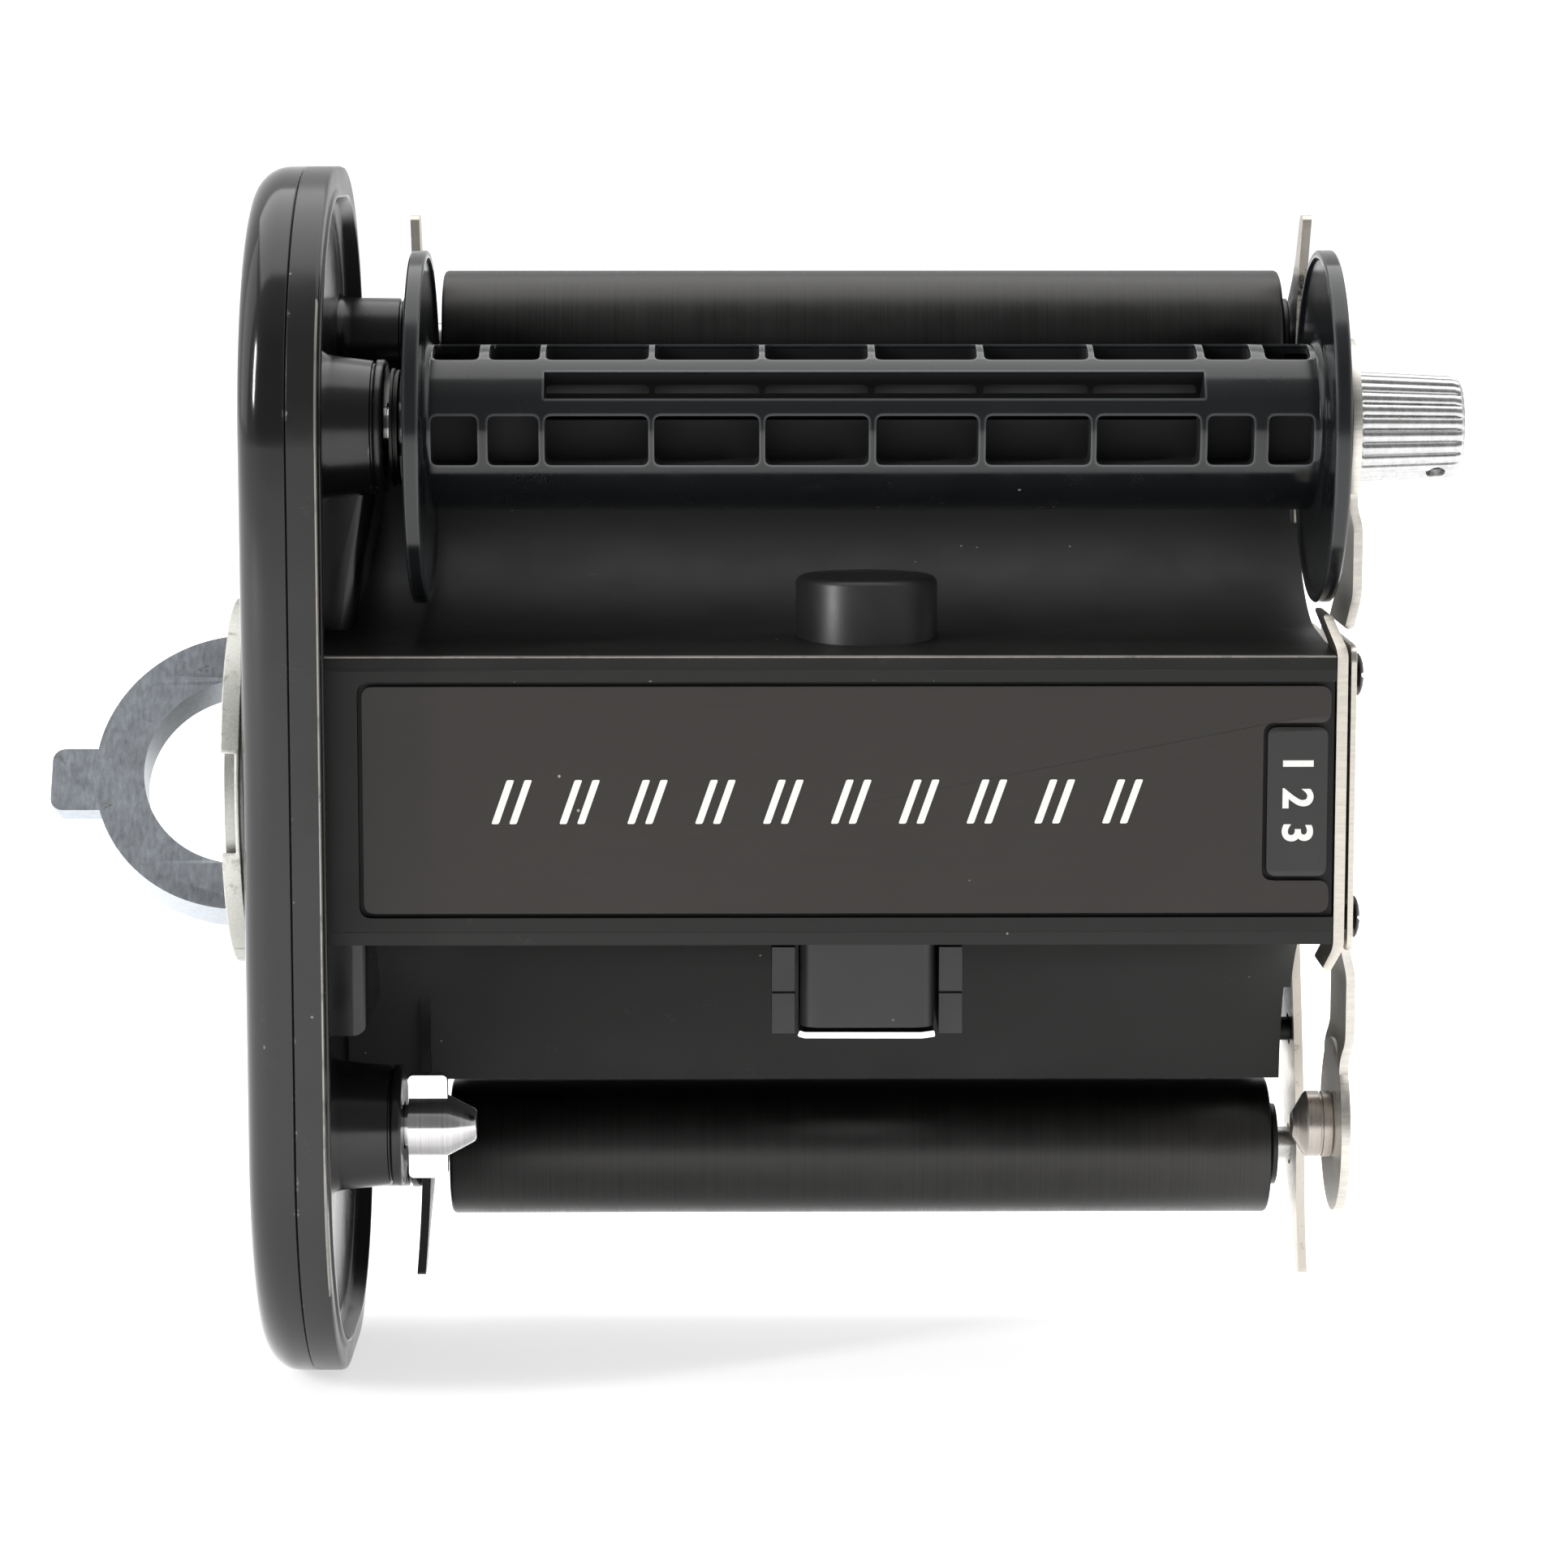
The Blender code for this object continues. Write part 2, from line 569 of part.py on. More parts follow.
def left_peg(name, z, shoulder_r, shoulder_x, boss_end):
    """A winged drive peg whose shaft turns in a boss of the end frame."""
    shoulder, cylinder_end, tip = LEFT_PEG_X
    shaft_end = PAN_FLOOR_X + 0.2
    profile = [
        (tip, 0),
        (tip, PEG_TIP_R),
        (cylinder_end, PEG_R),
        (shoulder, PEG_R),
        (shoulder, shoulder_r),
        (shoulder_x, shoulder_r),
        (shoulder_x, PEG_SHAFT_R),
        (shaft_end, PEG_SHAFT_R),
        (shaft_end, 0),
    ]
    assert shoulder_x > boss_end
    made = turned(name, CHROME, at(0, 0, z, ALONG_X), profile)
    height, thick = BLADE
    low = (shoulder - 0.05, -thick / 2, -height / 2)
    wings = box_mesh("wings", low, (cylinder_end - 0.05, thick / 2, height / 2), bevel=0.3)
    join(made, "wings", wings, at(0, 0, z))


def feed_right_peg():
    tip, cylinder, back = RIGHT_PEG_X
    rivet = ARM_INNER_X + ARM_T - 0.35
    profile = [
        (rivet, 0),
        (rivet, 1.0),
        (back, 1.0),
        (back, RIGHT_PEG_R),
        (cylinder, RIGHT_PEG_R),
        (tip, RIGHT_PEG_TIP_R),
        (tip, 0),
    ]
    turned("feed_right_peg", CHROME, at(0, 0, -AXIS_Z, ALONG_X), profile)


def roller(name, z):
    low, high = ROLLER_X
    edge = 0.5
    bore = AXLE_R + GAP
    profile = [
        (high, bore),
        (high, ROLLER_R - edge),
        (high - edge, ROLLER_R),
        (low + edge, ROLLER_R),
        (low, ROLLER_R - edge),
        (low, bore),
    ]
    turned(name, ANODISED, at(0, ROLLER_Y, z, ALONG_X), profile, closed=True)


def axle_and_collar(side, z):
    here = at(0, ROLLER_Y, z, ALONG_X)
    place(f"{side}_axle", rod_mesh(f"{side}_axle", *AXLE_X, AXLE_R, segments=20), STEEL, here)
    low, high = COLLAR_X
    ring = [(high, AXLE_R + 0.2), (high, COLLAR_R), (low, COLLAR_R), (low, AXLE_R + 0.2)]
    turned(f"{side}_collar", BLACK_PLASTIC, here, ring, closed=True, segments=24)


def sheet_outline():
    """The side sheet seen along X: a broad strip whose four corners run out into horns."""
    front = SHEET_SIDE_Y + 0.4
    tip = SHEET_HALF_H
    upper = [(front, 20.0), (13.2, 24.6), (14.0, 33.5), (14.7, tip), (16.8, tip), (19.7, 36.2), (21.5, 30.8)]
    return [(front, 0)] + upper + [(y, -z) for y, z in reversed(upper)]


def side_sheet(name, x):
    holes = [circle((ROLLER_Y, z), AXLE_R + GAP, 16) for z in (ROLLER_Z, -ROLLER_Z)]
    holes += [circle(place_yz, SHEET_PIN_R + GAP, 12) for place_yz in sheet_pin_places()]
    mesh = outline_mesh(name, [sheet_outline()] + holes, SHEET_T)
    place(name, mesh, BLACK_STEEL, at(x, 0, 0, OUTLINE_YZ))


def sheet_rivets():
    """Rivets that hold each side sheet to the casting."""
    head = SHEET_T / 2 + GAP
    profile = [
        (head + 0.35, 0),
        (head + 0.35, 1.2),
        (head, RIVET_HEAD_R),
        (head, SHEET_PIN_R),
        (-RIVET_DEPTH, SHEET_PIN_R),
        (-RIVET_DEPTH, 0),
    ]
    for side, sheet_x, angle in (("left", SHEET_LEFT_X, -90), ("right", SHEET_RIGHT_X, 90)):
        turn = Matrix.Rotation(math.radians(angle), 4, "Y")
        for level, (y, z) in zip(("upper", "lower"), sheet_pin_places()):
            name = f"{level}_{side}_sheet_rivet"
            turned(name, BLACK_STEEL, at(sheet_x, y, z, turn), profile, segments=16)


def pressure_plate():
    low_x, high_x = PRESSURE_X
    front, back = PRESSURE_Y
    h = PRESSURE_HALF_H
    mesh = box_mesh("pressure_plate", (low_x, front, -h), (high_x, back, h), bevel=0.35)
    place("pressure_plate", mesh, ANODISED, Matrix.Identity(4))


def pressure_spring():
    """A bowed leaf that presses the plate away from the casting."""
    front, back = SPRING_Y
    thick, half = 0.4, 24.0
    rise = back - front - thick
    steps = [-1 + i / 6 for i in range(13)]
    outer = [(half * s, back - rise * s * s) for s in steps]
    inner = [(x, y - thick) for x, y in reversed(outer)]
    mesh = outline_mesh("pressure_spring", [outer + inner], 6.0)
    place("pressure_spring", mesh, STEEL, Matrix.Identity(4))


def damper():
    low, high = DAMPER_Z
    edge = 0.4
    cavity = (high - 1.4, DAMPER_R - 1.2)
    profile = [
        (high, 0),
        (high, DAMPER_R - edge),
        (high - edge, DAMPER_R),
        (low, DAMPER_R),
        (low, cavity[1]),
        (cavity[0], cavity[1]),
        (cavity[0], 0),
    ]
    turned("roll_damper", BLACK_PLASTIC, at(DAMPER_X, DAMPER_Y, 0), profile, segments=36)
    coil("damper_spring", DAMPER_BORE_FLOOR + 0.25, cavity[0] - 0.25, 2.9, (DAMPER_X, DAMPER_Y))


def coil(name, low, high, radius, place_xy, wire=0.3, turns=5):
    """A compression spring along Z, between two heights."""
    curve = bpy.data.curves.new(name, "CURVE")
    curve.dimensions = "3D"
    curve.bevel_depth = wire * MM
    curve.bevel_resolution = 1
    curve.use_fill_caps = True
    spline = curve.splines.new("POLY")
    count = turns * 12
    spline.points.add(count)
    for i, point in enumerate(spline.points):
        angle = 2 * math.pi * i / 12
        z = low + wire + (high - low - 2 * wire) * i / count
        point.co = (radius * math.cos(angle) * MM, radius * math.sin(angle) * MM, z * MM, 1)
    place(name, curve, STEEL, at(*place_xy, 0))


def brake_shoe():
    (x0, x1), (y0, y1), (z0, z1) = SHOE_X, SHOE_Y, SHOE_Z
    mesh = box_mesh("brake_shoe", (x0, y0, z0), (x1, y1, z1), bevel=0.8)
    made = place("brake_shoe", mesh, BLACK_PLASTIC, Matrix.Identity(4))
    middle = ((x0 + x1) / 2, (y0 + y1) / 2)
    cavity = rod_mesh("spring_cavity", z0 + 1.5, z1 + 1, 3.3, segments=24)
    cut(made, "spring_cavity", cavity, at(*middle, 0))
    coil("shoe_spring", z0 + 1.75, SHOE_POCKET_TOP - 0.25, 2.6, middle)
    strip = box_mesh("brake_strip", (x0, y0 + 0.6, z0 - GAP - STRIP_T), (x1, y1 - 0.6, z0 - GAP), bevel=0.15)
    place("brake_strip", strip, CHROME, Matrix.Identity(4))
    low_z, high_z = GUIDE_Z
    for name, x in (("left", x0 - GAP - GUIDE_W), ("right", x1 + GAP)):
        guide = box_mesh(f"shoe_guide_{name}", (x, -5.0, low_z), (x + GUIDE_W, 3.0, high_z), bevel=0.2)
        place(f"shoe_guide_{name}", guide, BLACK_PLASTIC, Matrix.Identity(4))


def plate_holes(depth_low, depth_high):
    return [
        (f"screw_hole_{i}", rod_mesh(f"screw_hole_{i}", depth_low, depth_high, SCREW_SHANK_R + GAP, segments=16),
         at(0, SCREW_Y, z, ALONG_X))
        for i, z in enumerate((SCREW_Z, -SCREW_Z))
    ]


def side_plates():
    (x0, x1), (y0, y1) = SIDE_PLATE_X, SIDE_PLATE_Y
    top = BLOCK_HALF_H + 0.3
    # the plate bends inwards at its top and bottom edges
    section = [(x0, -top), (x0 - 0.75, -top - 1.5), (x1 - 0.95, -top - 1.7), (x1, -top)]
    section += [(x1, top), (x1 - 1.2, top + 2.6), (x0 - 1.1, top + 2.6), (x0, top)]
    mesh = outline_mesh("side_plate", [section], y1 - y0)
    made = place("side_plate", mesh, NICKEL, at(0, (y0 + y1) / 2, 0, OUTLINE_XZ))
    for level, sign in (("upper", 1), ("lower", -1)):
        low, high = sorted((sign * (top + 0.02), sign * (top + 5)))
        trim = box_mesh(f"{level}_trim", (x0 - 3, y0 + 5.0, low), (x1 + 1, y1 + 1, high))
        cut(made, f"{level}_trim", trim)
    for name, hole, here in plate_holes(x0 - 1, x1 + 1):
        cut(made, name, hole, here)
    (s0, s1), (t0, t1) = SPRING_PLATE_X, SPRING_PLATE_Y
    h = SPRING_PLATE_HALF_H
    spring = place("spring_plate", box_mesh("spring_plate", (s0, t0, -h), (s1, t1, h)), NICKEL, Matrix.Identity(4))
    for name, hole, here in plate_holes(s0 - 1, s1 + 1):
        cut(spring, name, hole, here)


def plate_screw(name, z):
    head = SPRING_PLATE_X[1] + GAP
    tip = BODY_X[1] - 3.5
    profile = [
        (head + 0.45, 0),
        (head + 0.35, 0.9),
        (head + 0.12, SCREW_HEAD_R),
        (head, SCREW_HEAD_R),
        (head, SCREW_SHANK_R),
        (tip, SCREW_SHANK_R),
        (tip, 0),
    ]
    made = turned(name, BLACK_STEEL, at(0, SCREW_Y, z, ALONG_X), profile, segments=20)
    slot = box_mesh("slot", (head + 0.2, SCREW_Y - 3, z - 0.2), (head + 2, SCREW_Y + 3, z + 0.2))
    cut(made, "slot", slot)


def spring_arm(name, sign, hole_r):
    """An arm that steps outwards from the spring plate and ends in a round eye about a spool axis."""
    inner, outer = ARM_INNER_X, ARM_INNER_X + ARM_T
    step = SPRING_PLATE_X[0] + 0.1
    section = [
        (step, sign * ARM_ROOT_Z),
        (inner, sign * ARM_STEP_Z),
        (inner, sign * AXIS_Z),
        (outer, sign * AXIS_Z),
        (outer, sign * ARM_STEP_Z),
        (step + ARM_T, sign * ARM_ROOT_Z),
    ]
    mesh = outline_mesh(name, [section], ARM_NECK_HALF * 2)
    made = place(name, mesh, NICKEL, at(0, 0, 0, OUTLINE_XZ))
    here = at(0, 0, sign * AXIS_Z, ALONG_X)
    join(made, "eye", rod_mesh("eye", inner, outer, ARM_END_R, segments=36), here)
    cut(made, "eye_hole", rod_mesh("eye_hole", inner - 1, outer + 1, hole_r, segments=20), here)


def fluted_ring(bm, x, radius, depth):
    count = KNOB_FLUTES * 4
    ring = []
    for i in range(count):
        angle = 2 * math.pi * i / count
        r = radius - depth * (0.5 - 0.5 * math.cos(KNOB_FLUTES * angle))
        ring.append(bm.verts.new(Vector((r * math.cos(angle), r * math.sin(angle), x)) * MM))
    return ring


def winding_knob():
    low, high = KNOB_X
    wide, narrow = KNOB_R
    edge = 0.4
    bm = bmesh.new()
    rings = [
        fluted_ring(bm, low, wide - edge, 0),
        fluted_ring(bm, low + edge, wide, KNOB_FLUTE_DEPTH),
        fluted_ring(bm, high - edge, narrow, KNOB_FLUTE_DEPTH),
        fluted_ring(bm, high, narrow - edge, 0),
    ]
    for a, b in zip(rings, rings[1:]):
        for i in range(len(a)):
            j = (i + 1) % len(a)
            bm.faces.new((a[i], a[j], b[j], b[i]))
    bm.faces.new(rings[0])
    bm.faces.new(rings[-1])
    here = at(0, 0, AXIS_Z, ALONG_X)
    made = place("winding_knob", mesh_from("winding_knob", bm), CHROME, here)
    cut(made, "shaft_bore", rod_mesh("shaft_bore", low - 1, high - 0.8, PEG_SHAFT_R + GAP, segments=20), here)
    across = at(KNOB_PIN_X, 0, AXIS_Z, Matrix.Rotation(math.radians(-KNOB_PIN_TILT), 4, "X"))
    cut(made, "pin_bore", rod_mesh("pin_bore", -6, 6, KNOB_PIN_R + 0.25, segments=12), across)
    pin = rod_mesh("knob_pin", 0.4 - narrow, narrow - 0.4, KNOB_PIN_R, segments=12)
    place("knob_pin", pin, STEEL, across)

    blade_end = SPOOL_HALF - 0.1
    profile = [
        (high - 1.2, 0),
        (high - 1.2, PEG_SHAFT_R),
        (ARM_INNER_X - 0.2, PEG_SHAFT_R),
        (ARM_INNER_X - 0.2, PEG_R),
        (SHAFT_TIP_X + 1.8, PEG_R),
        (SHAFT_TIP_X, PEG_TIP_R),
        (SHAFT_TIP_X, 0),
    ]
    shaft = turned("winding_shaft", CHROME, here, profile)
    height, thick = BLADE
    low_corner = (SHAFT_TIP_X + 2.0, -thick / 2, -height / 2)
    join(shaft, "blade", box_mesh("blade", low_corner, (blade_end, thick / 2, height / 2)), at(0, 0, AXIS_Z))
    cut(shaft, "pin_bore", rod_mesh("shaft_pin_bore", -6, 6, KNOB_PIN_R + 0.25, segments=12), across)


end_cover()
end_frame()
key_bezel()
key_hub()
key_pin()
lock_cam()
key_ring()
body_block()
labels()
take_up_spool()
left_peg("take_up_left_peg", AXIS_Z, 4.2, UPPER_BOSS[0] + GAP, UPPER_BOSS[0])
left_peg("feed_left_peg", -AXIS_Z, PEG_R, LEFT_PEG_X[0], LOWER_BOSS[0])
feed_right_peg()
for side, sign in (("upper", 1), ("lower", -1)):
    roller(f"{side}_roller", sign * ROLLER_Z)
    axle_and_collar(side, sign * ROLLER_Z)
    plate_screw(f"{side}_plate_screw", sign * SCREW_Z)
side_sheet("left_side_sheet", SHEET_LEFT_X)
side_sheet("right_side_sheet", SHEET_RIGHT_X)
sheet_rivets()
pressure_plate()
pressure_spring()
damper()
brake_shoe()
side_plates()
spring_arm("upper_arm", 1, PEG_SHAFT_R + GAP)
spring_arm("lower_arm", -1, 1.3)
winding_knob()
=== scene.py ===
"""Looks of the roll-film magazine insert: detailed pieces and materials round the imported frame.

Shapes are built in millimetres from the film centre, the point midway between the two spool axes: X runs
along the spools towards the knob, Y towards the pressure plate, and Z is up. "solid" turns them into
objects in metres, placed on the frame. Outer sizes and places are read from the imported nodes; the details
between them are given here.
"""

import json
import math

import bmesh
import bpy
from mathutils import Matrix, Vector


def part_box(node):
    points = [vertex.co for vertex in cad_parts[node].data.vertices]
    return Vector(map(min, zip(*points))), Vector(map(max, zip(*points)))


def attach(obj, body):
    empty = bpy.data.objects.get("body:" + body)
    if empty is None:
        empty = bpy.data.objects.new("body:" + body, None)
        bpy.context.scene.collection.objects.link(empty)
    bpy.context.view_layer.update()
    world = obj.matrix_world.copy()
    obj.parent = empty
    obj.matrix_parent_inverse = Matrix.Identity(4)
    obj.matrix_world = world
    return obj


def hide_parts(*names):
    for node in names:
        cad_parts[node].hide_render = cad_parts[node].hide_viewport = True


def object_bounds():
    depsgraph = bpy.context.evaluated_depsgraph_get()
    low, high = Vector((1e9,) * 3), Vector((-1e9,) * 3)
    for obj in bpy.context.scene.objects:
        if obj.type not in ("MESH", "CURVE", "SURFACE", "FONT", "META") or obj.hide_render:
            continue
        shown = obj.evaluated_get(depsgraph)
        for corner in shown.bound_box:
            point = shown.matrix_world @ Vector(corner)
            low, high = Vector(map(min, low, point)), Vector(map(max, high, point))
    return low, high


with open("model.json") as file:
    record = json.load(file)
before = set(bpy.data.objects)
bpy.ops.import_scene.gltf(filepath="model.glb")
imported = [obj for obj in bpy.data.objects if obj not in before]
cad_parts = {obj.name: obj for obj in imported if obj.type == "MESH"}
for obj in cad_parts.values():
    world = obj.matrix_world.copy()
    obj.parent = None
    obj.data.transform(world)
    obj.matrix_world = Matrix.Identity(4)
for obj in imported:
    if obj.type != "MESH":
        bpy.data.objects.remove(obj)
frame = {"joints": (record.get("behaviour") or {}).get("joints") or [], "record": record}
cad_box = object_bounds()

MM = 0.001
JOINTS = {joint["name"]: joint for joint in frame["joints"]}


def joint_place(name):
    return Vector(JOINTS[name]["pos_m"])


def film_centre():
    low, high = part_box("take_up_spool")
    top, bottom = joint_place("take_up_spin"), joint_place("feed_left_peg_spin")
    return Vector(((low[0] + high[0]) / 2, top.y, (top.z + bottom.z) / 2))


CENTRE = film_centre()


def local(point):
    """A place in the frame, in millimetres from the film centre."""
    return (Vector(point) - CENTRE) / MM


def frame_mount(name):
    return next(mount["pos_m"] for mount in frame["record"]["mounts"] if mount["name"] == name)


def span(node):
    """A node's lowest and highest corner, in millimetres from the film centre."""
    low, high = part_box(node)
    return local(low), local(high)


def at(x, y, z, turn=None):
    return Matrix.Translation((x, y, z)) @ (turn or Matrix())


# How a shape's own Z, or its flat outline, is laid into the frame.
ALONG_X = Matrix.Rotation(math.pi / 2, 4, "Y")
OUTLINE_YZ = Matrix(((0, 0, 1, 0), (1, 0, 0, 0), (0, 1, 0, 0), (0, 0, 0, 1)))
OUTLINE_XZ = Matrix.Rotation(math.pi / 2, 4, "X")

TOP = local(joint_place("take_up_spin")).z
TAKE_UP_AXIS = at(0, 0, TOP, ALONG_X)
FEED_AXIS = at(0, 0, -TOP, ALONG_X)
ROLLER = local(joint_place("upper_roller_spin"))
RIM_X = local(frame_mount("shell_seat")).x
KEY = local(joint_place("key_turn"))
KEY_AXIS = at(0, KEY.y, KEY.z, ALONG_X)
HINGE = Vector(JOINTS["key_fold"]["axis"])
KEY_TURN = math.atan2(HINGE.y, HINGE.z)
KEY_FRAME = Matrix.Rotation(-math.pi / 2 - KEY_TURN, 4, "X") @ Matrix.Rotation(math.pi, 4, "Z")
KEY_HINGE = at(KEY.x, KEY.y, KEY.z, KEY_FRAME)


# ---- shapes


def block(low, high):
    bm = bmesh.new()
    bmesh.ops.create_cube(bm, size=1.0)
    bmesh.ops.scale(bm, vec=[b - a for a, b in zip(low, high)], verts=bm.verts)
    bmesh.ops.translate(bm, vec=[(a + b) / 2 for a, b in zip(low, high)], verts=bm.verts)
    return bm


def lathe(profile, segments=64, closed=False):
    """A profile of (place along local Z, radius) turned about local Z. A radius of 0 is a pole."""
    bm = bmesh.new()
    rings = []
    for z, r in profile:
        count = segments if r else 1
        angles = [2 * math.pi * i / segments for i in range(count)]
        rings.append([bm.verts.new((r * math.cos(a), r * math.sin(a), z)) for a in angles])
    for a, b in zip(rings, rings[1:] + rings[:1] if closed else rings[1:]):
        for i in range(segments):
            j = (i + 1) % segments
            corners = [a[i % len(a)], a[j % len(a)], b[j % len(b)], b[i % len(b)]]
            bm.faces.new(list(dict.fromkeys(corners)))
    return bm


def rod(low, high, radius, segments=48):
    return lathe([(low, 0), (low, radius), (high, radius), (high, 0)], segments)


def prism(loops, thickness):
    """Flat outlines, the first the outside and the others holes, given a thickness along local Z."""
    curve = bpy.data.curves.new("outline", "CURVE")
    curve.dimensions = "2D"
    curve.fill_mode = "BOTH"
    curve.extrude = thickness / 2
    for loop in loops:
        spline = curve.splines.new("POLY")
        spline.points.add(len(loop) - 1)
        for point, (u, v) in zip(spline.points, loop):
            point.co = (u, v, 0, 1)
        spline.use_cyclic_u = True
    return evaluated(bpy.data.objects.new("outline", curve))


def evaluated(holder, *helpers):
    """The evaluated mesh of a temporary object, as a bmesh. The object and its helpers are removed."""
    bpy.context.scene.collection.objects.link(holder)
    bpy.context.view_layer.update()
    graph = bpy.context.evaluated_depsgraph_get()
    mesh = bpy.data.meshes.new_from_object(holder.evaluated_get(graph))
    bm = bmesh.new()
    bm.from_mesh(mesh)
    bmesh.ops.remove_doubles(bm, verts=bm.verts, dist=1e-4)
    for done in (holder, *helpers):
        bpy.data.objects.remove(done, do_unlink=True)
    bpy.data.meshes.remove(mesh)
    return bm


def holder_of(bm):
    bmesh.ops.recalc_face_normals(bm, faces=bm.faces)
    mesh = bpy.data.meshes.new("shape")
    bm.to_mesh(mesh)
    bm.free()
    return bpy.data.objects.new("shape", mesh)


def combined(base, operation, tools):
    """The base mesh after one Boolean with each tool in turn."""
    holder = holder_of(base)
    helpers = []
    for tool in tools:
        helper = holder_of(tool)
        bpy.context.scene.collection.objects.link(helper)
        step = holder.modifiers.new("step", "BOOLEAN")
        step.operation = operation
        step.solver = "EXACT"
        step.object = helper
        helpers.append(helper)
    return evaluated(holder, *helpers)


def cut(base, *tools):
    return combined(base, "DIFFERENCE", tools)


def joined(base, *tools):
    return combined(base, "UNION", tools)


def merged(parts):
    """Several meshes in one, with no Boolean."""
    bm = bmesh.new()
    for part in parts:
        mesh = bpy.data.meshes.new("part")
        part.to_mesh(mesh)
        part.free()
        bm.from_mesh(mesh)
        bpy.data.meshes.remove(mesh)
    return bm


def moved(bm, matrix):
    bm.transform(matrix)
    return bm


def arc(centre, radius, start, end, count):
    step = (end - start) / count
    angles = [math.radians(start + i * step) for i in range(count + 1)]
    return [(centre[0] + radius * math.cos(a), centre[1] + radius * math.sin(a)) for a in angles]


def circle(centre, radius, count=32):
    return arc(centre, radius, 0, 360, count)[:-1]


def rounded(outline, radius, count=4):
    """An outline with each corner replaced by an arc of about this radius."""
    rounded_loop = []
    total = len(outline)
    for i, corner in enumerate(outline):
        here = Vector(corner)
        before = Vector(outline[i - 1]) - here
        after = Vector(outline[(i + 1) % total]) - here
        reach = min(radius, before.length * 0.45, after.length * 0.45)
        start, end = here + before.normalized() * reach, here + after.normalized() * reach
        for k in range(count + 1):
            t = k / count
            point = start * (1 - t) ** 2 + here * 2 * t * (1 - t) + end * t**2
            rounded_loop.append((point.x, point.y))
    return rounded_loop


def rectangle(x0, x1, z0, z1):
    return [(x0, z0), (x1, z0), (x1, z1), (x0, z1)]


def thickened(path, thickness):
    """A strip's outline: the path on one side and its offset on the other."""
    points = [Vector(p) for p in path]
    other = []
    for i, p in enumerate(points):
        a, b = points[max(i - 1, 0)], points[min(i + 1, len(points) - 1)]
        along = (b - a).normalized()
        normal = Vector((along.y, -along.x))
        if 0 < i < len(points) - 1:
            normal /= max(0.5, abs(normal.dot(Vector(((b - p).normalized().y, -(b - p).normalized().x)))))
        other.append(p + normal * thickness)
    return [tuple(p) for p in points] + [tuple(p) for p in reversed(other)]


def helix(radius, low, high, turns, wire, per_turn=20):
    """A round wire wound about local Z, with a flat turn at each end."""
    curve = bpy.data.curves.new("helix", "CURVE")
    curve.dimensions = "3D"
    curve.bevel_depth = wire
    curve.bevel_resolution = 2
    curve.use_fill_caps = True
    spline = curve.splines.new("POLY")
    count = (turns + 2) * per_turn
    spline.points.add(count)
    for i, point in enumerate(spline.points):
        turn = i / per_turn
        rise = min(max((turn - 0.8) / (turns + 0.4), 0), 1)
        z = low + wire + (high - low - 2 * wire) * rise
        angle = 2 * math.pi * turn
        point.co = (radius * math.cos(angle), radius * math.sin(angle), z, 1)
    return evaluated(bpy.data.objects.new("helix", curve))


def solid(name, bm, material, body, node=None, matrix=None, bevel=0.0, steps=2, sharp=35):
    """Makes a piece of the shape, which rides a body and may replace a node of the same place."""
    bmesh.ops.recalc_face_normals(bm, faces=bm.faces)
    bmesh.ops.scale(bm, vec=(MM, MM, MM), verts=bm.verts)
    mesh = bpy.data.meshes.new(name)
    bm.to_mesh(mesh)
    bm.free()
    mesh.shade_smooth()
    mesh.materials.append(material)
    made = bpy.data.objects.new(name, mesh)
    bpy.context.scene.collection.objects.link(made)
    place = matrix.copy() if matrix else Matrix()
    place.translation = place.translation * MM + CENTRE
    made.matrix_world = place
    if bevel:
        rounding = made.modifiers.new("rounding", "BEVEL")
        rounding.width = bevel * MM
        rounding.segments = steps
        rounding.limit_method = "ANGLE"
        rounding.angle_limit = math.radians(sharp)
        rounding.miter_outer = "MITER_ARC"
        weights = made.modifiers.new("weights", "WEIGHTED_NORMAL")
        weights.keep_sharp = False
        weights.weight = 60
    else:
        mesh.set_sharp_from_angle(angle=math.radians(sharp))
    bpy.context.view_layer.update()
    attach(made, body)
    if node:
        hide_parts(node)


# ---- materials


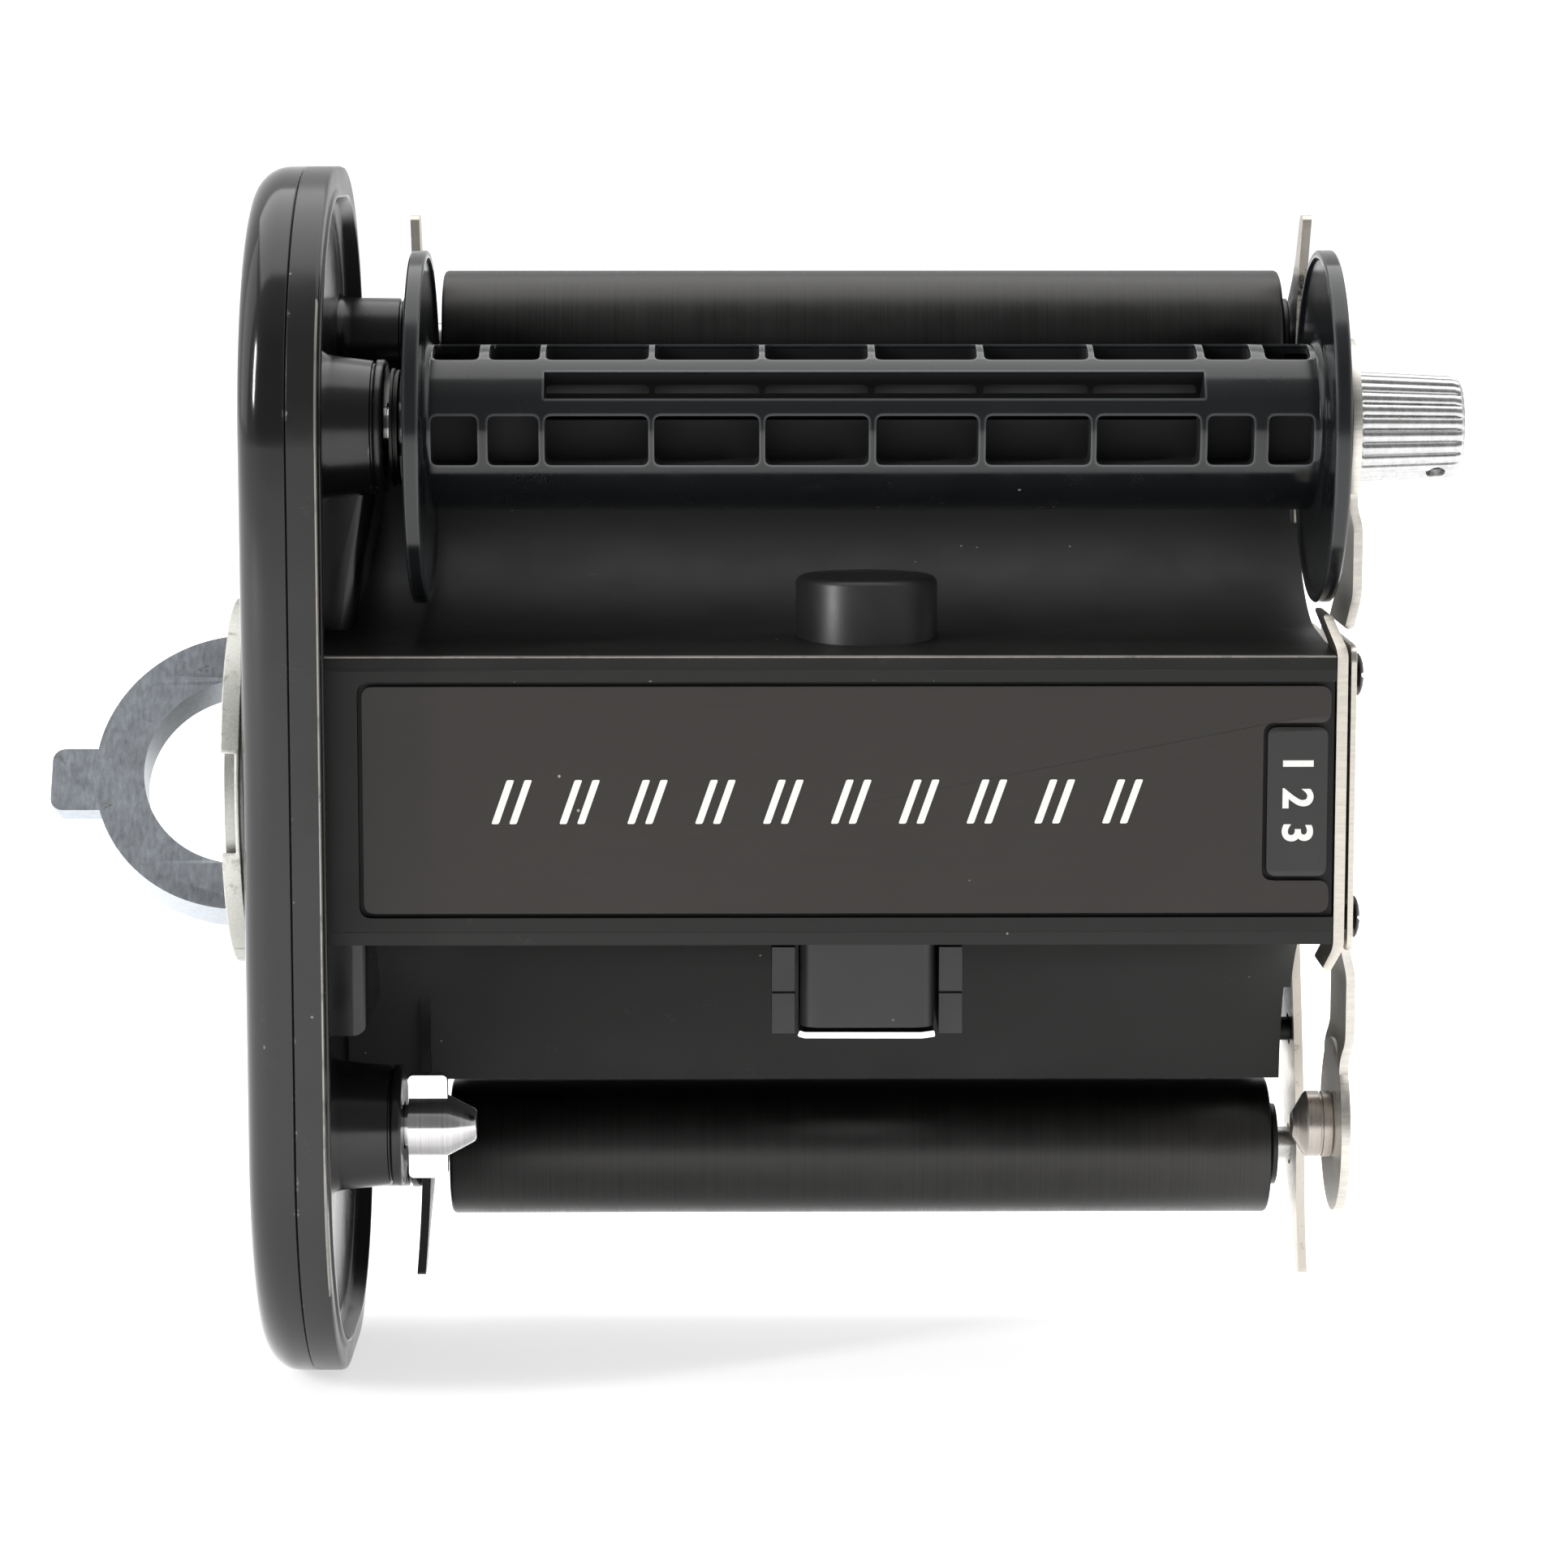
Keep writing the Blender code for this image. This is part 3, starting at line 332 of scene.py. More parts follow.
class Surface:
    """Builds one Principled material from nodes. Coordinates are the piece's own, in millimetres."""

    def __init__(self, name, slot):
        self.material = bpy.data.materials.new(name)
        self.material.use_nodes = True
        self.material["slot"] = slot
        self.tree = self.material.node_tree
        self.shader = self.tree.nodes["Principled BSDF"]
        coordinates = self.tree.nodes.new("ShaderNodeTexCoord")
        self.place = self.vector("SCALE", coordinates.outputs["Object"], scale=1 / MM)

    def node(self, kind, **settings):
        made = self.tree.nodes.new("ShaderNode" + kind)
        for key, value in settings.items():
            setattr(made, key, value)
        return made

    def feed(self, socket, value):
        if isinstance(value, bpy.types.NodeSocket):
            self.tree.links.new(value, socket)
        else:
            socket.default_value = value

    def vector(self, operation, value, other=None, scale=None):
        made = self.node("VectorMath", operation=operation)
        self.feed(made.inputs[0], value)
        if other is not None:
            self.feed(made.inputs[1], other)
        if scale is not None:
            made.inputs["Scale"].default_value = scale
        return made.outputs["Value" if operation in ("LENGTH", "DOT_PRODUCT") else "Vector"]

    def math(self, operation, first, second=0.0):
        made = self.node("Math", operation=operation)
        self.feed(made.inputs[0], first)
        self.feed(made.inputs[1], second)
        return made.outputs[0]

    def add(self, first, second):
        return self.math("ADD", first, second)

    def times(self, first, second):
        return self.math("MULTIPLY", first, second)

    def larger(self, first, second):
        return self.math("MAXIMUM", first, second)

    def swing(self, noise, amount):
        """A noise turned into a shift about zero."""
        return self.times(self.math("SUBTRACT", noise, 0.5), amount)

    def axes(self, place):
        parts = self.node("SeparateXYZ")
        self.feed(parts.inputs[0], place)
        return parts.outputs

    def ramp(self, value, low, high, to_low=0.0, to_high=1.0):
        made = self.node("MapRange")
        for socket, item in zip(made.inputs, (value, low, high, to_low, to_high)):
            self.feed(socket, item)
        return made.outputs[0]

    def mix(self, factor, first, second):
        made = self.node("Mix", data_type="RGBA")
        self.feed(made.inputs[0], factor)
        self.feed(made.inputs[6], self.colour(first))
        self.feed(made.inputs[7], self.colour(second))
        return made.outputs[2]

    def colour(self, value):
        return value if isinstance(value, bpy.types.NodeSocket) else (*value, 1.0)

    def noise(self, scale, detail=4.0, roughness=0.55, stretch=None, coordinates=None, warp=0.0):
        place = self.place if coordinates is None else coordinates
        if stretch:
            place = self.vector("MULTIPLY", place, stretch)
        made = self.node("TexNoise")
        self.feed(made.inputs["Vector"], place)
        made.inputs["Scale"].default_value = scale
        made.inputs["Detail"].default_value = detail
        made.inputs["Roughness"].default_value = roughness
        made.inputs["Distortion"].default_value = warp
        return made.outputs[0]

    def specks(self, spacing, share, coordinates=None):
        """Small round spots, on this share of a grid of cells, each somewhere in its cell."""
        made = self.node("TexVoronoi")
        self.feed(made.inputs["Vector"], self.place if coordinates is None else coordinates)
        made.inputs["Scale"].default_value = 1 / spacing
        made.inputs["Randomness"].default_value = 1.0
        near = self.ramp(made.outputs["Distance"], 0.10, 0.05)
        pick = self.node("SeparateColor")
        self.feed(pick.inputs[0], made.outputs["Color"])
        return self.times(near, self.math("LESS_THAN", pick.outputs[0], share))

    def scratches(self, scale, direction, share):
        """Fine lines across the piece, stretched along one direction."""
        lines = self.noise(scale, detail=2, roughness=0.4, stretch=direction, warp=0.6)
        breaks = self.noise(scale * 0.11, detail=2)
        line = self.ramp(self.math("ABSOLUTE", self.math("SUBTRACT", lines, 0.5)), 0.012, 0.0)
        return self.times(line, self.ramp(breaks, 1 - share, 1.04 - share))

    def edges(self, reach):
        """1 along outward edges within this distance in millimetres, 0 on flat faces."""
        made = self.node("AmbientOcclusion", inside=True, samples=6, only_local=True)
        made.inputs["Distance"].default_value = reach * MM
        return self.ramp(made.outputs["AO"], 0.96, 0.62)

    def ring_place(self):
        """Coordinates that turn rings about local Z into straight lines, for lathe marks."""
        x, y, z = self.axes(self.place)
        flat = self.node("CombineXYZ")
        self.feed(flat.inputs[0], x)
        self.feed(flat.inputs[1], y)
        rings = self.node("CombineXYZ")
        self.feed(rings.inputs[0], self.vector("LENGTH", flat.outputs[0]))
        self.feed(rings.inputs[2], z)
        return rings.outputs[0]

    def bump(self, height, distance, normal=None):
        made = self.node("Bump")
        made.inputs["Strength"].default_value = 1.0
        made.inputs["Distance"].default_value = distance * MM
        self.feed(made.inputs["Height"], height)
        if normal is not None:
            self.feed(made.inputs["Normal"], normal)
        return made.outputs[0]

    def done(self, colour, roughness, metallic, normal, specular=0.5):
        self.feed(self.shader.inputs["Base Color"], self.colour(colour))
        self.feed(self.shader.inputs["Roughness"], roughness)
        self.feed(self.shader.inputs["Metallic"], metallic)
        self.shader.inputs["Specular IOR Level"].default_value = specular
        self.feed(self.shader.inputs["Normal"], normal)
        return self.material


BARE_METAL = (0.42, 0.40, 0.37)


def paint(name, slot, colour, roughness, grain, wear, specular=0.5, line=None, chips=0.0):
    """Paint on metal, with grain, dust, faint scratches, chips and bare metal at worn edges.

    `line` is a painted highlight along a straight edge, drawn as bare metal, and on the rim worn paint as
    well: which coordinate, its place, half its width, how much of the paint is bare, and the depth (y)
    behind which the edge is whole.
    """
    s = Surface(name, slot)
    cloud = s.noise(0.16, detail=4)
    fine = s.noise(7.0, detail=3)
    patches = s.noise(0.55, detail=5, roughness=0.65)
    worn = s.ramp(s.add(s.edges(0.45), s.swing(patches, 3.2)), wear, wear + 0.12)
    dust = s.specks(1.15, 0.05)
    scratch = s.scratches(2.6, (0.35, 1.0, 1.0), 0.34)
    base = s.mix(cloud, [c * 0.8 for c in colour], [c * 1.35 for c in colour])
    base = s.mix(s.times(scratch, 0.25), base, (0.12, 0.12, 0.12))
    base = s.mix(s.times(dust, 0.5), base, (0.45, 0.44, 0.42))
    if chips:
        long_cells = s.vector("MULTIPLY", s.place, (1.0, 1.0, 0.45))
        worn = s.larger(worn, s.specks(1.25, chips, long_cells))
    # A painted highlight: a line of bright bare metal along one straight edge; on the rim it is worn paint
    # as well.
    if line:
        axis, middle, half_width, share, back = line
        axes = s.axes(s.place)
        off = s.math("ABSOLUTE", s.math("SUBTRACT", axes[axis], middle))
        near = s.ramp(off, half_width, half_width * 0.6)
        near = s.times(near, s.math("LESS_THAN", axes[1], back))
        worn_and_highlight_share = s.ramp(patches, 0.30, 0.50, share * 0.4, share)
        worn = s.larger(worn, s.times(near, worn_and_highlight_share))
    base = s.mix(worn, base, BARE_METAL)
    rough = s.ramp(cloud, 0.3, 0.7, roughness - 0.05, roughness + 0.07)
    rough = s.add(rough, s.times(dust, 0.3))
    normal = s.bump(fine, grain)
    normal = s.bump(s.math("SUBTRACT", 1.0, worn), 0.012, normal)
    return s.done(base, rough, s.times(worn, 0.85), normal, specular)


def plastic(name, slot, colour, roughness, grain, marks, rim=None, painted_shade_within=None):
    """Moulded plastic. Its edges may get a painted highlight, and its insides painted shade, dull black.

    `rim` is the colour of the painted highlight on the edges, and `painted_shade_within` the painted shade's
    reach from local Z.
    """
    s = Surface(name, slot)
    cloud = s.noise(0.22, detail=4)
    fine = s.noise(5.0, detail=3)
    dust = s.specks(1.4, 0.04)
    scratch = s.scratches(3.2, (0.2, 1.0, 1.0), 0.4)
    base = s.mix(cloud, [c * 0.8 for c in colour], [c * 1.3 for c in colour])
    base = s.mix(s.times(dust, 0.4), base, (0.4, 0.4, 0.4))
    # A painted highlight: the edges are made lighter, as if they caught the light.
    if rim:
        base = s.mix(s.edges(0.22), base, rim)
    rough = s.ramp(cloud, 0.3, 0.7, roughness - 0.04, roughness + 0.06)
    rough = s.add(rough, s.times(scratch, marks))
    # Painted shade: within this distance of local Z, the windows, slot and bores are made black and rough.
    if painted_shade_within:
        inside = s.math("LESS_THAN", s.axes(s.ring_place())[0], painted_shade_within)
        base = s.mix(inside, base, (0.002, 0.002, 0.002))
        rough = s.larger(rough, s.times(inside, 0.85))
    return s.done(base, rough, 0.0, s.bump(fine, grain))


def metal(name, slot, colour, roughness, scale, stretch, depth, stain=None, stained=0.55, rings=False):
    """Bare or plated metal with a grain along one direction, or in rings about local Z.

    `stain` is a second colour, in the patches where a noise is over `stained`.
    """
    s = Surface(name, slot)
    place = s.ring_place() if rings else s.place
    cloud = s.noise(0.5, detail=5)
    grain = s.noise(scale, detail=5, roughness=0.7, stretch=stretch, coordinates=place)
    tone = s.ramp(grain, 0.3, 0.7, 0.82, 1.12)
    base = s.mix(cloud, [c * 0.86 for c in colour], [min(c * 1.1, 1.0) for c in colour])
    tinted = s.node("Mix", data_type="RGBA", blend_type="MULTIPLY")
    s.feed(tinted.inputs[0], 1.0)
    s.feed(tinted.inputs[6], base)
    grey = s.node("CombineColor")
    for socket in grey.inputs:
        s.feed(socket, tone)
    s.feed(tinted.inputs[7], grey.outputs[0])
    base = tinted.outputs[2]
    if stain:
        spots = s.noise(0.9, detail=6, roughness=0.7, warp=0.5)
        base = s.mix(s.ramp(spots, stained, stained + 0.14), base, stain)
    wear = s.add(grain, s.times(cloud, 0.5))
    rough = s.ramp(wear, 0.45, 1.0, roughness - 0.06, roughness + 0.1)
    return s.done(base, rough, 1.0, s.bump(grain, depth))


LEDGE_Z = 10.15
EVEN = (1, 1, 1)
ALONG_PLATE = (0.3, 2.5, 2.5)

# The line along the casting's top front edge is a painted highlight, drawn as bare metal.
BODY_PAINT = paint(
    "casting_paint", "black_paint", (0.0105, 0.0107, 0.0100), 0.46, 0.003, 1.62,
    specular=0.28, line=(2, LEDGE_Z - 0.02, 0.07, 1.0, -10.9),
)
# The line along the rim's front edge is worn paint, made bright as a painted highlight as well.
RIM_PAINT = paint(
    "rim_paint", "black_paint", (0.0075, 0.0078, 0.0074), 0.22, 0.002, 1.30,
    line=(0, RIM_X - 0.12, 0.10, 0.75, -13.0),
)
COVER_PAINT = paint(
    "cover_paint", "gloss_black_paint", (0.0045, 0.0045, 0.0045), 0.10, 0.0008, 1.5, chips=0.10
)
LABEL_PAINT = paint(
    "label_paint", "gloss_black_paint", (0.012, 0.0115, 0.011), 0.38, 0.0012, 1.6
)
# The spool's lighter edges are a painted highlight, and its black inside within 5.6 mm of the axis is
# painted shade.
SPOOL_PLASTIC = plastic(
    "spool_plastic", "gloss_black_plastic", (0.006, 0.007, 0.008), 0.14, 0.0012, 0.35,
    rim=(0.07, 0.075, 0.08), painted_shade_within=5.6,
)
SHOE_PLASTIC = plastic("shoe_plastic", "black_plastic", (0.016, 0.016, 0.016), 0.38, 0.004, 0.25)
ROLLER_BLACK = metal(
    "roller_black", "black_anodised", (0.052, 0.051, 0.050), 0.36, 3.2, (1.0, 1.0, 2.5), 0.0008, rings=True
)
PLATE_BLACK = plastic("pressure_plate_black", "black_anodised", (0.012, 0.012, 0.013), 0.30, 0.001, 0.3)
CAST_GREY = metal(
    "bezel_grey", "cast_grey", (0.58, 0.58, 0.54), 0.50, 6.0, EVEN, 0.006, (0.36, 0.35, 0.31)
)
HUB_GREY = metal("hub_grey", "cast_grey", (0.42, 0.42, 0.40), 0.42, 4.0, EVEN, 0.004, rings=True)
KEY_ZINC = metal(
    "key_zinc", "key_steel", (0.44, 0.47, 0.51), 0.32, 3.0, (1.0, 0.35, 1.0), 0.003, (0.24, 0.20, 0.15), 0.62
)
CHROME = metal("chrome_turned", "chrome", (0.66, 0.65, 0.65), 0.12, 5.0, EVEN, 0.0006, rings=True)
PEG_STEEL = metal("peg_steel", "chrome", (0.46, 0.42, 0.38), 0.26, 5.0, EVEN, 0.0012, rings=True)
KNOB_CHROME = metal(
    "knob_chrome", "chrome", (0.56, 0.56, 0.56), 0.26, 2.0, (1, 1, 0.6), 0.0006, (0.30, 0.24, 0.16), 0.64
)
NICKEL = metal(
    "nickel_plate", "nickel", (0.60, 0.56, 0.50), 0.30, 1.6, ALONG_PLATE, 0.002, (0.38, 0.32, 0.26), 0.66
)
ARM_NICKEL = metal(
    "arm_nickel", "nickel", (0.66, 0.63, 0.58), 0.36, 1.6, ALONG_PLATE, 0.002, (0.40, 0.34, 0.27), 0.68
)
STEEL = metal("bright_steel", "steel", (0.66, 0.66, 0.65), 0.26, 4.0, EVEN, 0.002)
STRIP = metal("strip_steel", "chrome", (0.78, 0.78, 0.78), 0.16, 2.0, (0.2, 3.0, 3.0), 0.0015)
BLACK_STEEL = metal("black_steel", "black_steel", (0.035, 0.034, 0.033), 0.36, 4.0, EVEN, 0.002)


def name_plate_black():
    s = Surface("name_plate_black", "name_plate_black")
    brush = s.noise(3.0, detail=4, roughness=0.7, stretch=(0.06, 1.0, 1.0))
    cloud = s.noise(0.08, detail=3)
    dust = s.specks(1.3, 0.045)
    base = s.mix(brush, (0.019, 0.016, 0.014), (0.029, 0.025, 0.022))
    base = s.mix(s.times(dust, 0.6), base, (0.5, 0.5, 0.48))
    rough = s.ramp(s.add(brush, cloud), 0.7, 1.3, 0.36, 0.46)
    return s.done(base, rough, 0.35, s.bump(brush, 0.0012))


def sheet_steel(name, bare_front=False):
    """Blackened steel whose upper tips are bare; with `bare_front` its front edge and lower end too.

    The outline's own x is the depth in the frame, and its y the height.
    """
    s = Surface(name, "black_steel")
    depth, height, _ = s.axes(s.place)
    patches = s.noise(1.4, detail=6, roughness=0.75)
    bare = s.ramp(s.add(height, s.swing(patches, 5.0)), 35.4, 36.4)
    if bare_front:
        worn = s.add(depth, s.times(patches, 1.5))
        low_end = s.math("LESS_THAN", height, -22.0)
        bare = s.larger(bare, s.larger(s.ramp(worn, 14.6, 14.2), low_end))
    spots = s.ramp(s.noise(1.3, detail=6, roughness=0.7), 0.60, 0.74)
    metal_tone = s.mix(spots, (0.56, 0.52, 0.46), (0.28, 0.23, 0.19))
    base = s.mix(bare, (0.022, 0.022, 0.024), metal_tone)
    rough = s.ramp(patches, 0.3, 0.7, 0.30, 0.44)
    return s.done(base, rough, 0.9, s.bump(patches, 0.006))


def print_white():
    s = Surface("print_white", "name_plate_black")
    cloud = s.noise(6.0, detail=4)
    base = s.mix(cloud, (0.70, 0.70, 0.67), (0.86, 0.86, 0.84))
    return s.done(base, s.ramp(cloud, 0.3, 0.7, 0.45, 0.6), 0.0, s.bump(cloud, 0.002))


NAME_BLACK = name_plate_black()
BARE_SHEET = sheet_steel("bare_sheet", bare_front=True)
SHEET_STEEL = sheet_steel("sheet_steel")
PRINT_WHITE = print_white()

# ---- end plate and key


NEAR_CORNER, FAR_CORNER = 19.0, 15.0


def d_outline(inset):
    """The end plate's outline, moved inwards by inset."""
    low, high = span("end_frame")
    near_r, far_r = NEAR_CORNER - inset, FAR_CORNER - inset
    near, far = low.y + NEAR_CORNER, high.y - FAR_CORNER
    near_z, far_z = high.z - NEAR_CORNER, high.z - FAR_CORNER
    return (
        arc((far, far_z), far_r, 0, 90, 22)
        + arc((near, near_z), near_r, 90, 180, 26)
        + arc((near, -near_z), near_r, 180, 270, 26)
        + arc((far, -far_z), far_r, 270, 360, 22)
    )


def d_loft(profile):
    """A D-shaped solid from a profile of (inset, place along X)."""
    bm = bmesh.new()
    rings = [[bm.verts.new((x, y, z)) for y, z in d_outline(inset)] for inset, x in profile]
    for low, high in zip(rings, rings[1:]):
        for i in range(len(low)):
            j = (i + 1) % len(low)
            bm.faces.new((low[i], low[j], high[j], high[i]))
    bm.faces.new(rings[0])
    bm.faces.new(rings[-1])
    return bm


def end_cover():
    low, high = span("end_cover")
    edge, wall, mouth_r = 2.4, 1.1, 12.45
    dome = [(edge - u, low.x + edge - v) for u, v in arc((0, 0), edge, 90, 0, 9)]
    seam = span("end_frame")[0].x - 0.02
    mouth = [(0, seam - 0.1), (0.1, seam), (wall, seam)]
    inner = edge - wall + 0.4
    inside = [(wall + inner - u, low.x + wall + inner - v) for u, v in arc((0, 0), inner, 0, 90, 6)]
    hole = moved(rod(low.x - 1, high.x, mouth_r, 96), KEY_AXIS)
    shape = cut(d_loft(dome + mouth + inside), hole)
    solid("end_cover_shell", shape, COVER_PAINT, "insert_frame", "end_cover", sharp=40)


def boss(end, wide, narrow, bore, floor, flare):
    """A tapered boss with a flared foot, a rounded end and a blind bore, along local Z."""
    foot = [
        (floor - 0.4, 0), (floor - 0.4, wide + flare), (floor + 0.05, wide + flare),
        (floor + 0.25, wide + flare * 0.5), (floor + 0.6, wide + flare * 0.15), (floor + 1.1, wide),
    ]
    bead = [
        (end - 1.0, narrow + 0.05), (end - 0.95, narrow - 0.15), (end - 0.8, narrow - 0.15),
        (end - 0.72, narrow + 0.12), (end - 0.2, narrow + 0.12), (end - 0.05, narrow),
    ]
    hollow = [(end, narrow - 0.25), (end, bore), (floor + 0.1, bore), (floor + 0.1, 0)]
    return lathe(foot + bead + hollow, 56)


def web(floor, reach_low, reach_high, z_low, z_high):
    """A wall between a boss and the casting, which reaches inwards this far at its two ends."""
    root, front, back = floor - 0.4, 0.5, 13.0
    outline = [(root, z_low), (floor + reach_low, z_low), (floor + reach_high, z_high), (root, z_high)]
    wall = moved(prism([outline], back - front), at(0, (front + back) / 2, 0, OUTLINE_XZ))
    corners = [e for e in wall.edges if all(v.co.x > floor for v in e.verts)]
    bmesh.ops.bevel(wall, geom=corners, offset=1.1, segments=6, profile=0.5, affect="EDGES")
    return wall


def end_frame():
    """The inner half of the end plate: an outer wall, a rim with a raised lip, bosses and webs."""
    back = span("end_frame")[0].x
    lip = RIM_X + 0.15
    floor = RIM_X - 1.25
    shape = d_loft([
        (0.08, back), (0.0, back + 0.08), (0.0, RIM_X - 0.35), (0.1, RIM_X - 0.1), (0.35, RIM_X),
        (1.5, RIM_X), (1.6, RIM_X + 0.1), (1.7, lip), (2.1, lip), (2.2, lip - 0.1),
        (2.4, floor + 0.5), (2.6, floor + 0.15), (3.0, floor),
    ])
    parts = []
    roller_end = span("left_side_sheet")[0].x - 0.3
    for axis, end, wide, narrow, sign in (
        (TAKE_UP_AXIS, -34.6, 5.1, 4.7, 1),
        (FEED_AXIS, -33.95, 4.7, 4.3, -1),
    ):
        parts.append(moved(boss(end, wide, narrow, 1.8, floor, 0.7), axis))
        roller_at = at(0, ROLLER.y, sign * ROLLER.z, ALONG_X)
        parts.append(moved(boss(roller_end, 3.2, 3.1, 1.6, floor, 0.3), roller_at))
    parts.append(web(floor, 2.0, 4.0, 9.0, 21.5))
    parts.append(web(floor, 2.9, 2.9, -18.9, -9.0))
    shape = joined(shape, *parts)
    solid("end_frame_rim", shape, RIM_PAINT, "insert_frame", "end_frame", bevel=0.12, sharp=42)


def key_bezel():
    low, high = span("key_bezel")
    outer = (high.y - low.y) / 2
    inner = outer - 0.65
    notch_half = 3.5
    profile = [(high.x, inner), (high.x, outer), (low.x, outer), (low.x, inner)]
    ring = moved(lathe(profile, 128, closed=True), KEY_AXIS)
    notch = block(
        (low.x - 1, KEY.y - outer - 1, KEY.z - notch_half),
        (high.x - 0.35, KEY.y - inner / 2, KEY.z + notch_half),
    )
    solid("key_bezel_ring", cut(ring, notch), CAST_GREY, "insert_frame", "key_bezel", bevel=0.16, sharp=40)


def key_hub():
    low, high = span("key_hub")
    outer = (high.y - low.y) / 2
    floor = low.x + 2.7
    base = high.x - 1.0
    shaft, pad = 3.0, 6.2
    profile = [
        (high.x, 0), (high.x, shaft), (base, shaft), (base, outer), (low.x, outer), (low.x, outer - 0.55),
        (floor + 0.3, outer - 0.55), (floor, outer - 0.85),
        (floor, pad), (floor + 0.25, pad - 0.2), (floor + 0.25, 0),
    ]
    cup = moved(lathe(profile, 96), KEY_AXIS)
    bore = moved(rod(-13, 13, 0.75, 24), KEY_HINGE @ OUTLINE_XZ)
    solid("key_hub_cup", cut(cup, bore), HUB_GREY, "key_hub", "key_hub", bevel=0.08, sharp=40)


def key_pin():
    half = 11.7
    profile = [(-half, 0), (-half, 0.38), (0.15 - half, 0.5), (half - 0.15, 0.5), (half, 0.38), (half, 0)]
    solid("key_hinge_pin", lathe(profile, 24), STEEL, "key_hub", "key_pin", KEY_HINGE @ OUTLINE_XZ)


def lock_cam():
    low, high = span("lock_cam")
    reach, radius = 9, 4.5
    loop = arc((reach, 0), radius, -90, 90, 20) + arc((-reach, 0), radius, 90, 270, 20)
    shape = prism([loop, circle((0, 0), 3.2, 40)], high.x - low.x)
    turn = Matrix.Rotation(KEY_TURN, 4, "X") @ OUTLINE_YZ
    here = at((low.x + high.x) / 2, KEY.y, KEY.z, turn)
    solid("locking_cam", shape, STEEL, "key_hub", "lock_cam", here, bevel=0.08)


def key_ring():
    """A half ring in its own XY plane: X outwards from the hinge and Y along it."""
    inner, outer, thick, heel, offset = 7.2, 10.7, 3.3, 1.6, 0.6
    outline = (
        [(-heel, -outer)]
        + arc((offset, 0), outer, -90, 90, 60)
        + [(-heel, outer), (-heel, inner)]
        + arc((offset, 0), inner, 90, -90, 48)
        + [(-heel, -inner)]
    )
    shape = prism([outline], thick)
    heel_edges = [e for e in shape.edges if all(v.co.x < 0.1 - heel for v in e.verts)]
    heel_edges = [e for e in heel_edges if abs(e.verts[0].co.z - e.verts[1].co.z) < 0.1]
    bmesh.ops.bevel(shape, geom=heel_edges, offset=1.3, segments=6, profile=0.5, affect="EDGES")
    tab_end, tab_half = 14.65, 2.4
    tab = block(
        (offset + outer - 1.0, -tab_half, thick / 2 - 1.7), (tab_end, tab_half, thick / 2 - 0.02)
    )
    upright = [e for e in tab.edges if abs(e.verts[0].co.z - e.verts[1].co.z) > 1]
    upright = [e for e in upright if e.verts[0].co.x > tab_end - 1]
    bmesh.ops.bevel(tab, geom=upright, offset=0.9, segments=5, profile=0.5, affect="EDGES")
    shape = cut(joined(shape, tab), moved(rod(-13, 13, 0.8, 24), OUTLINE_XZ))
    solid("folding_key", shape, KEY_ZINC, "key_ring", "key_ring", KEY_HINGE, bevel=0.22, steps=3, sharp=40)


# ---- casting and plates


def body_casting():
    """The black casting. Its rear wall ends behind the rollers, 0.55 mm beyond the solid one."""
    low, high = span("body_block")
    front, rear, half, wall_end = low.y, high.y, LEDGE_Z, high.z + 0.55
    cradle = 14.6
    end_angle = math.degrees(math.asin((wall_end - TOP) / cradle))
    top = arc((0, TOP), cradle, -90, end_angle, 36)
    upper = [(front, half - 1.0), (front + 0.12, half - 0.9), (front + 0.2, half)] + top + [(rear, wall_end)]
    outline = upper + [(y, -z) for y, z in reversed(upper)]
    shape = moved(prism([outline], high.x - low.x), at((low.x + high.x) / 2, 0, 0, OUTLINE_YZ))
    tall = wall_end + 2
    plate_low, plate_high = span("name_plate")
    damper, damper_high = span("roll_damper")
    damper_r = (damper_high.x - damper.x) / 2
    shoe_low, shoe_high = span("brake_shoe")
    edge = 0.3
    recess = rectangle(plate_low.x - edge, high.x + 2, plate_low.z - edge, plate_high.z + edge)
    gap = 0.05
    right_low = span("right_side_sheet")[0]
    tools = [
        block((right_low.x - 0.3, 12.3, -tall), (high.x + 1, rear + 1, tall)),
        block((-29.0, front + 2.1, -8.3), (-9.0, rear + 1, 8.3)),
        block((8.0, front + 2.1, -8.3), (27.6, rear + 1, 8.3)),
        moved(prism([rounded(recess, 0.9, 5)], 1.4), at(0, front, 0, OUTLINE_XZ)),
        moved(rod(1.0, 20, damper_r + gap, 72), at(damper.x + damper_r, damper.y + damper_r, 0)),
        block((shoe_low.x - gap, shoe_low.y - gap, -20), (shoe_high.x + gap, shoe_high.y + gap, -1.0)),
    ]
    shape = cut(shape, *tools)
    solid("body_casting", shape, BODY_PAINT, "insert_frame", "body_block", bevel=0.09, sharp=38)


def labels():
    low, high = span("name_plate")
    label_low, label_high = span("number_label")
    gap = 0.3
    notch_x, notch_low, notch_high = label_low.x - gap, label_low.z - gap, label_high.z + gap
    outline = [
        (low.x, low.z), (high.x, low.z), (high.x, notch_low), (notch_x, notch_low),
        (notch_x, notch_high), (high.x, notch_high), (high.x, high.z), (low.x, high.z),
    ]
    thick = high.y - low.y
    here = at(0, (low.y + high.y) / 2, 0, OUTLINE_XZ)
    plate = prism([rounded(outline, 0.8, 5)], thick)
    solid("name_plate_front", plate, NAME_BLACK, "insert_frame", "name_plate", here, bevel=0.07)
    corners = rectangle(label_low.x, label_high.x, label_low.z, label_high.z)
    label = prism([rounded(corners, 0.7, 5)], thick)
    solid("number_label_front", label, LABEL_PAINT, "insert_frame", "number_label", here, bevel=0.07)
    marks(low.y)


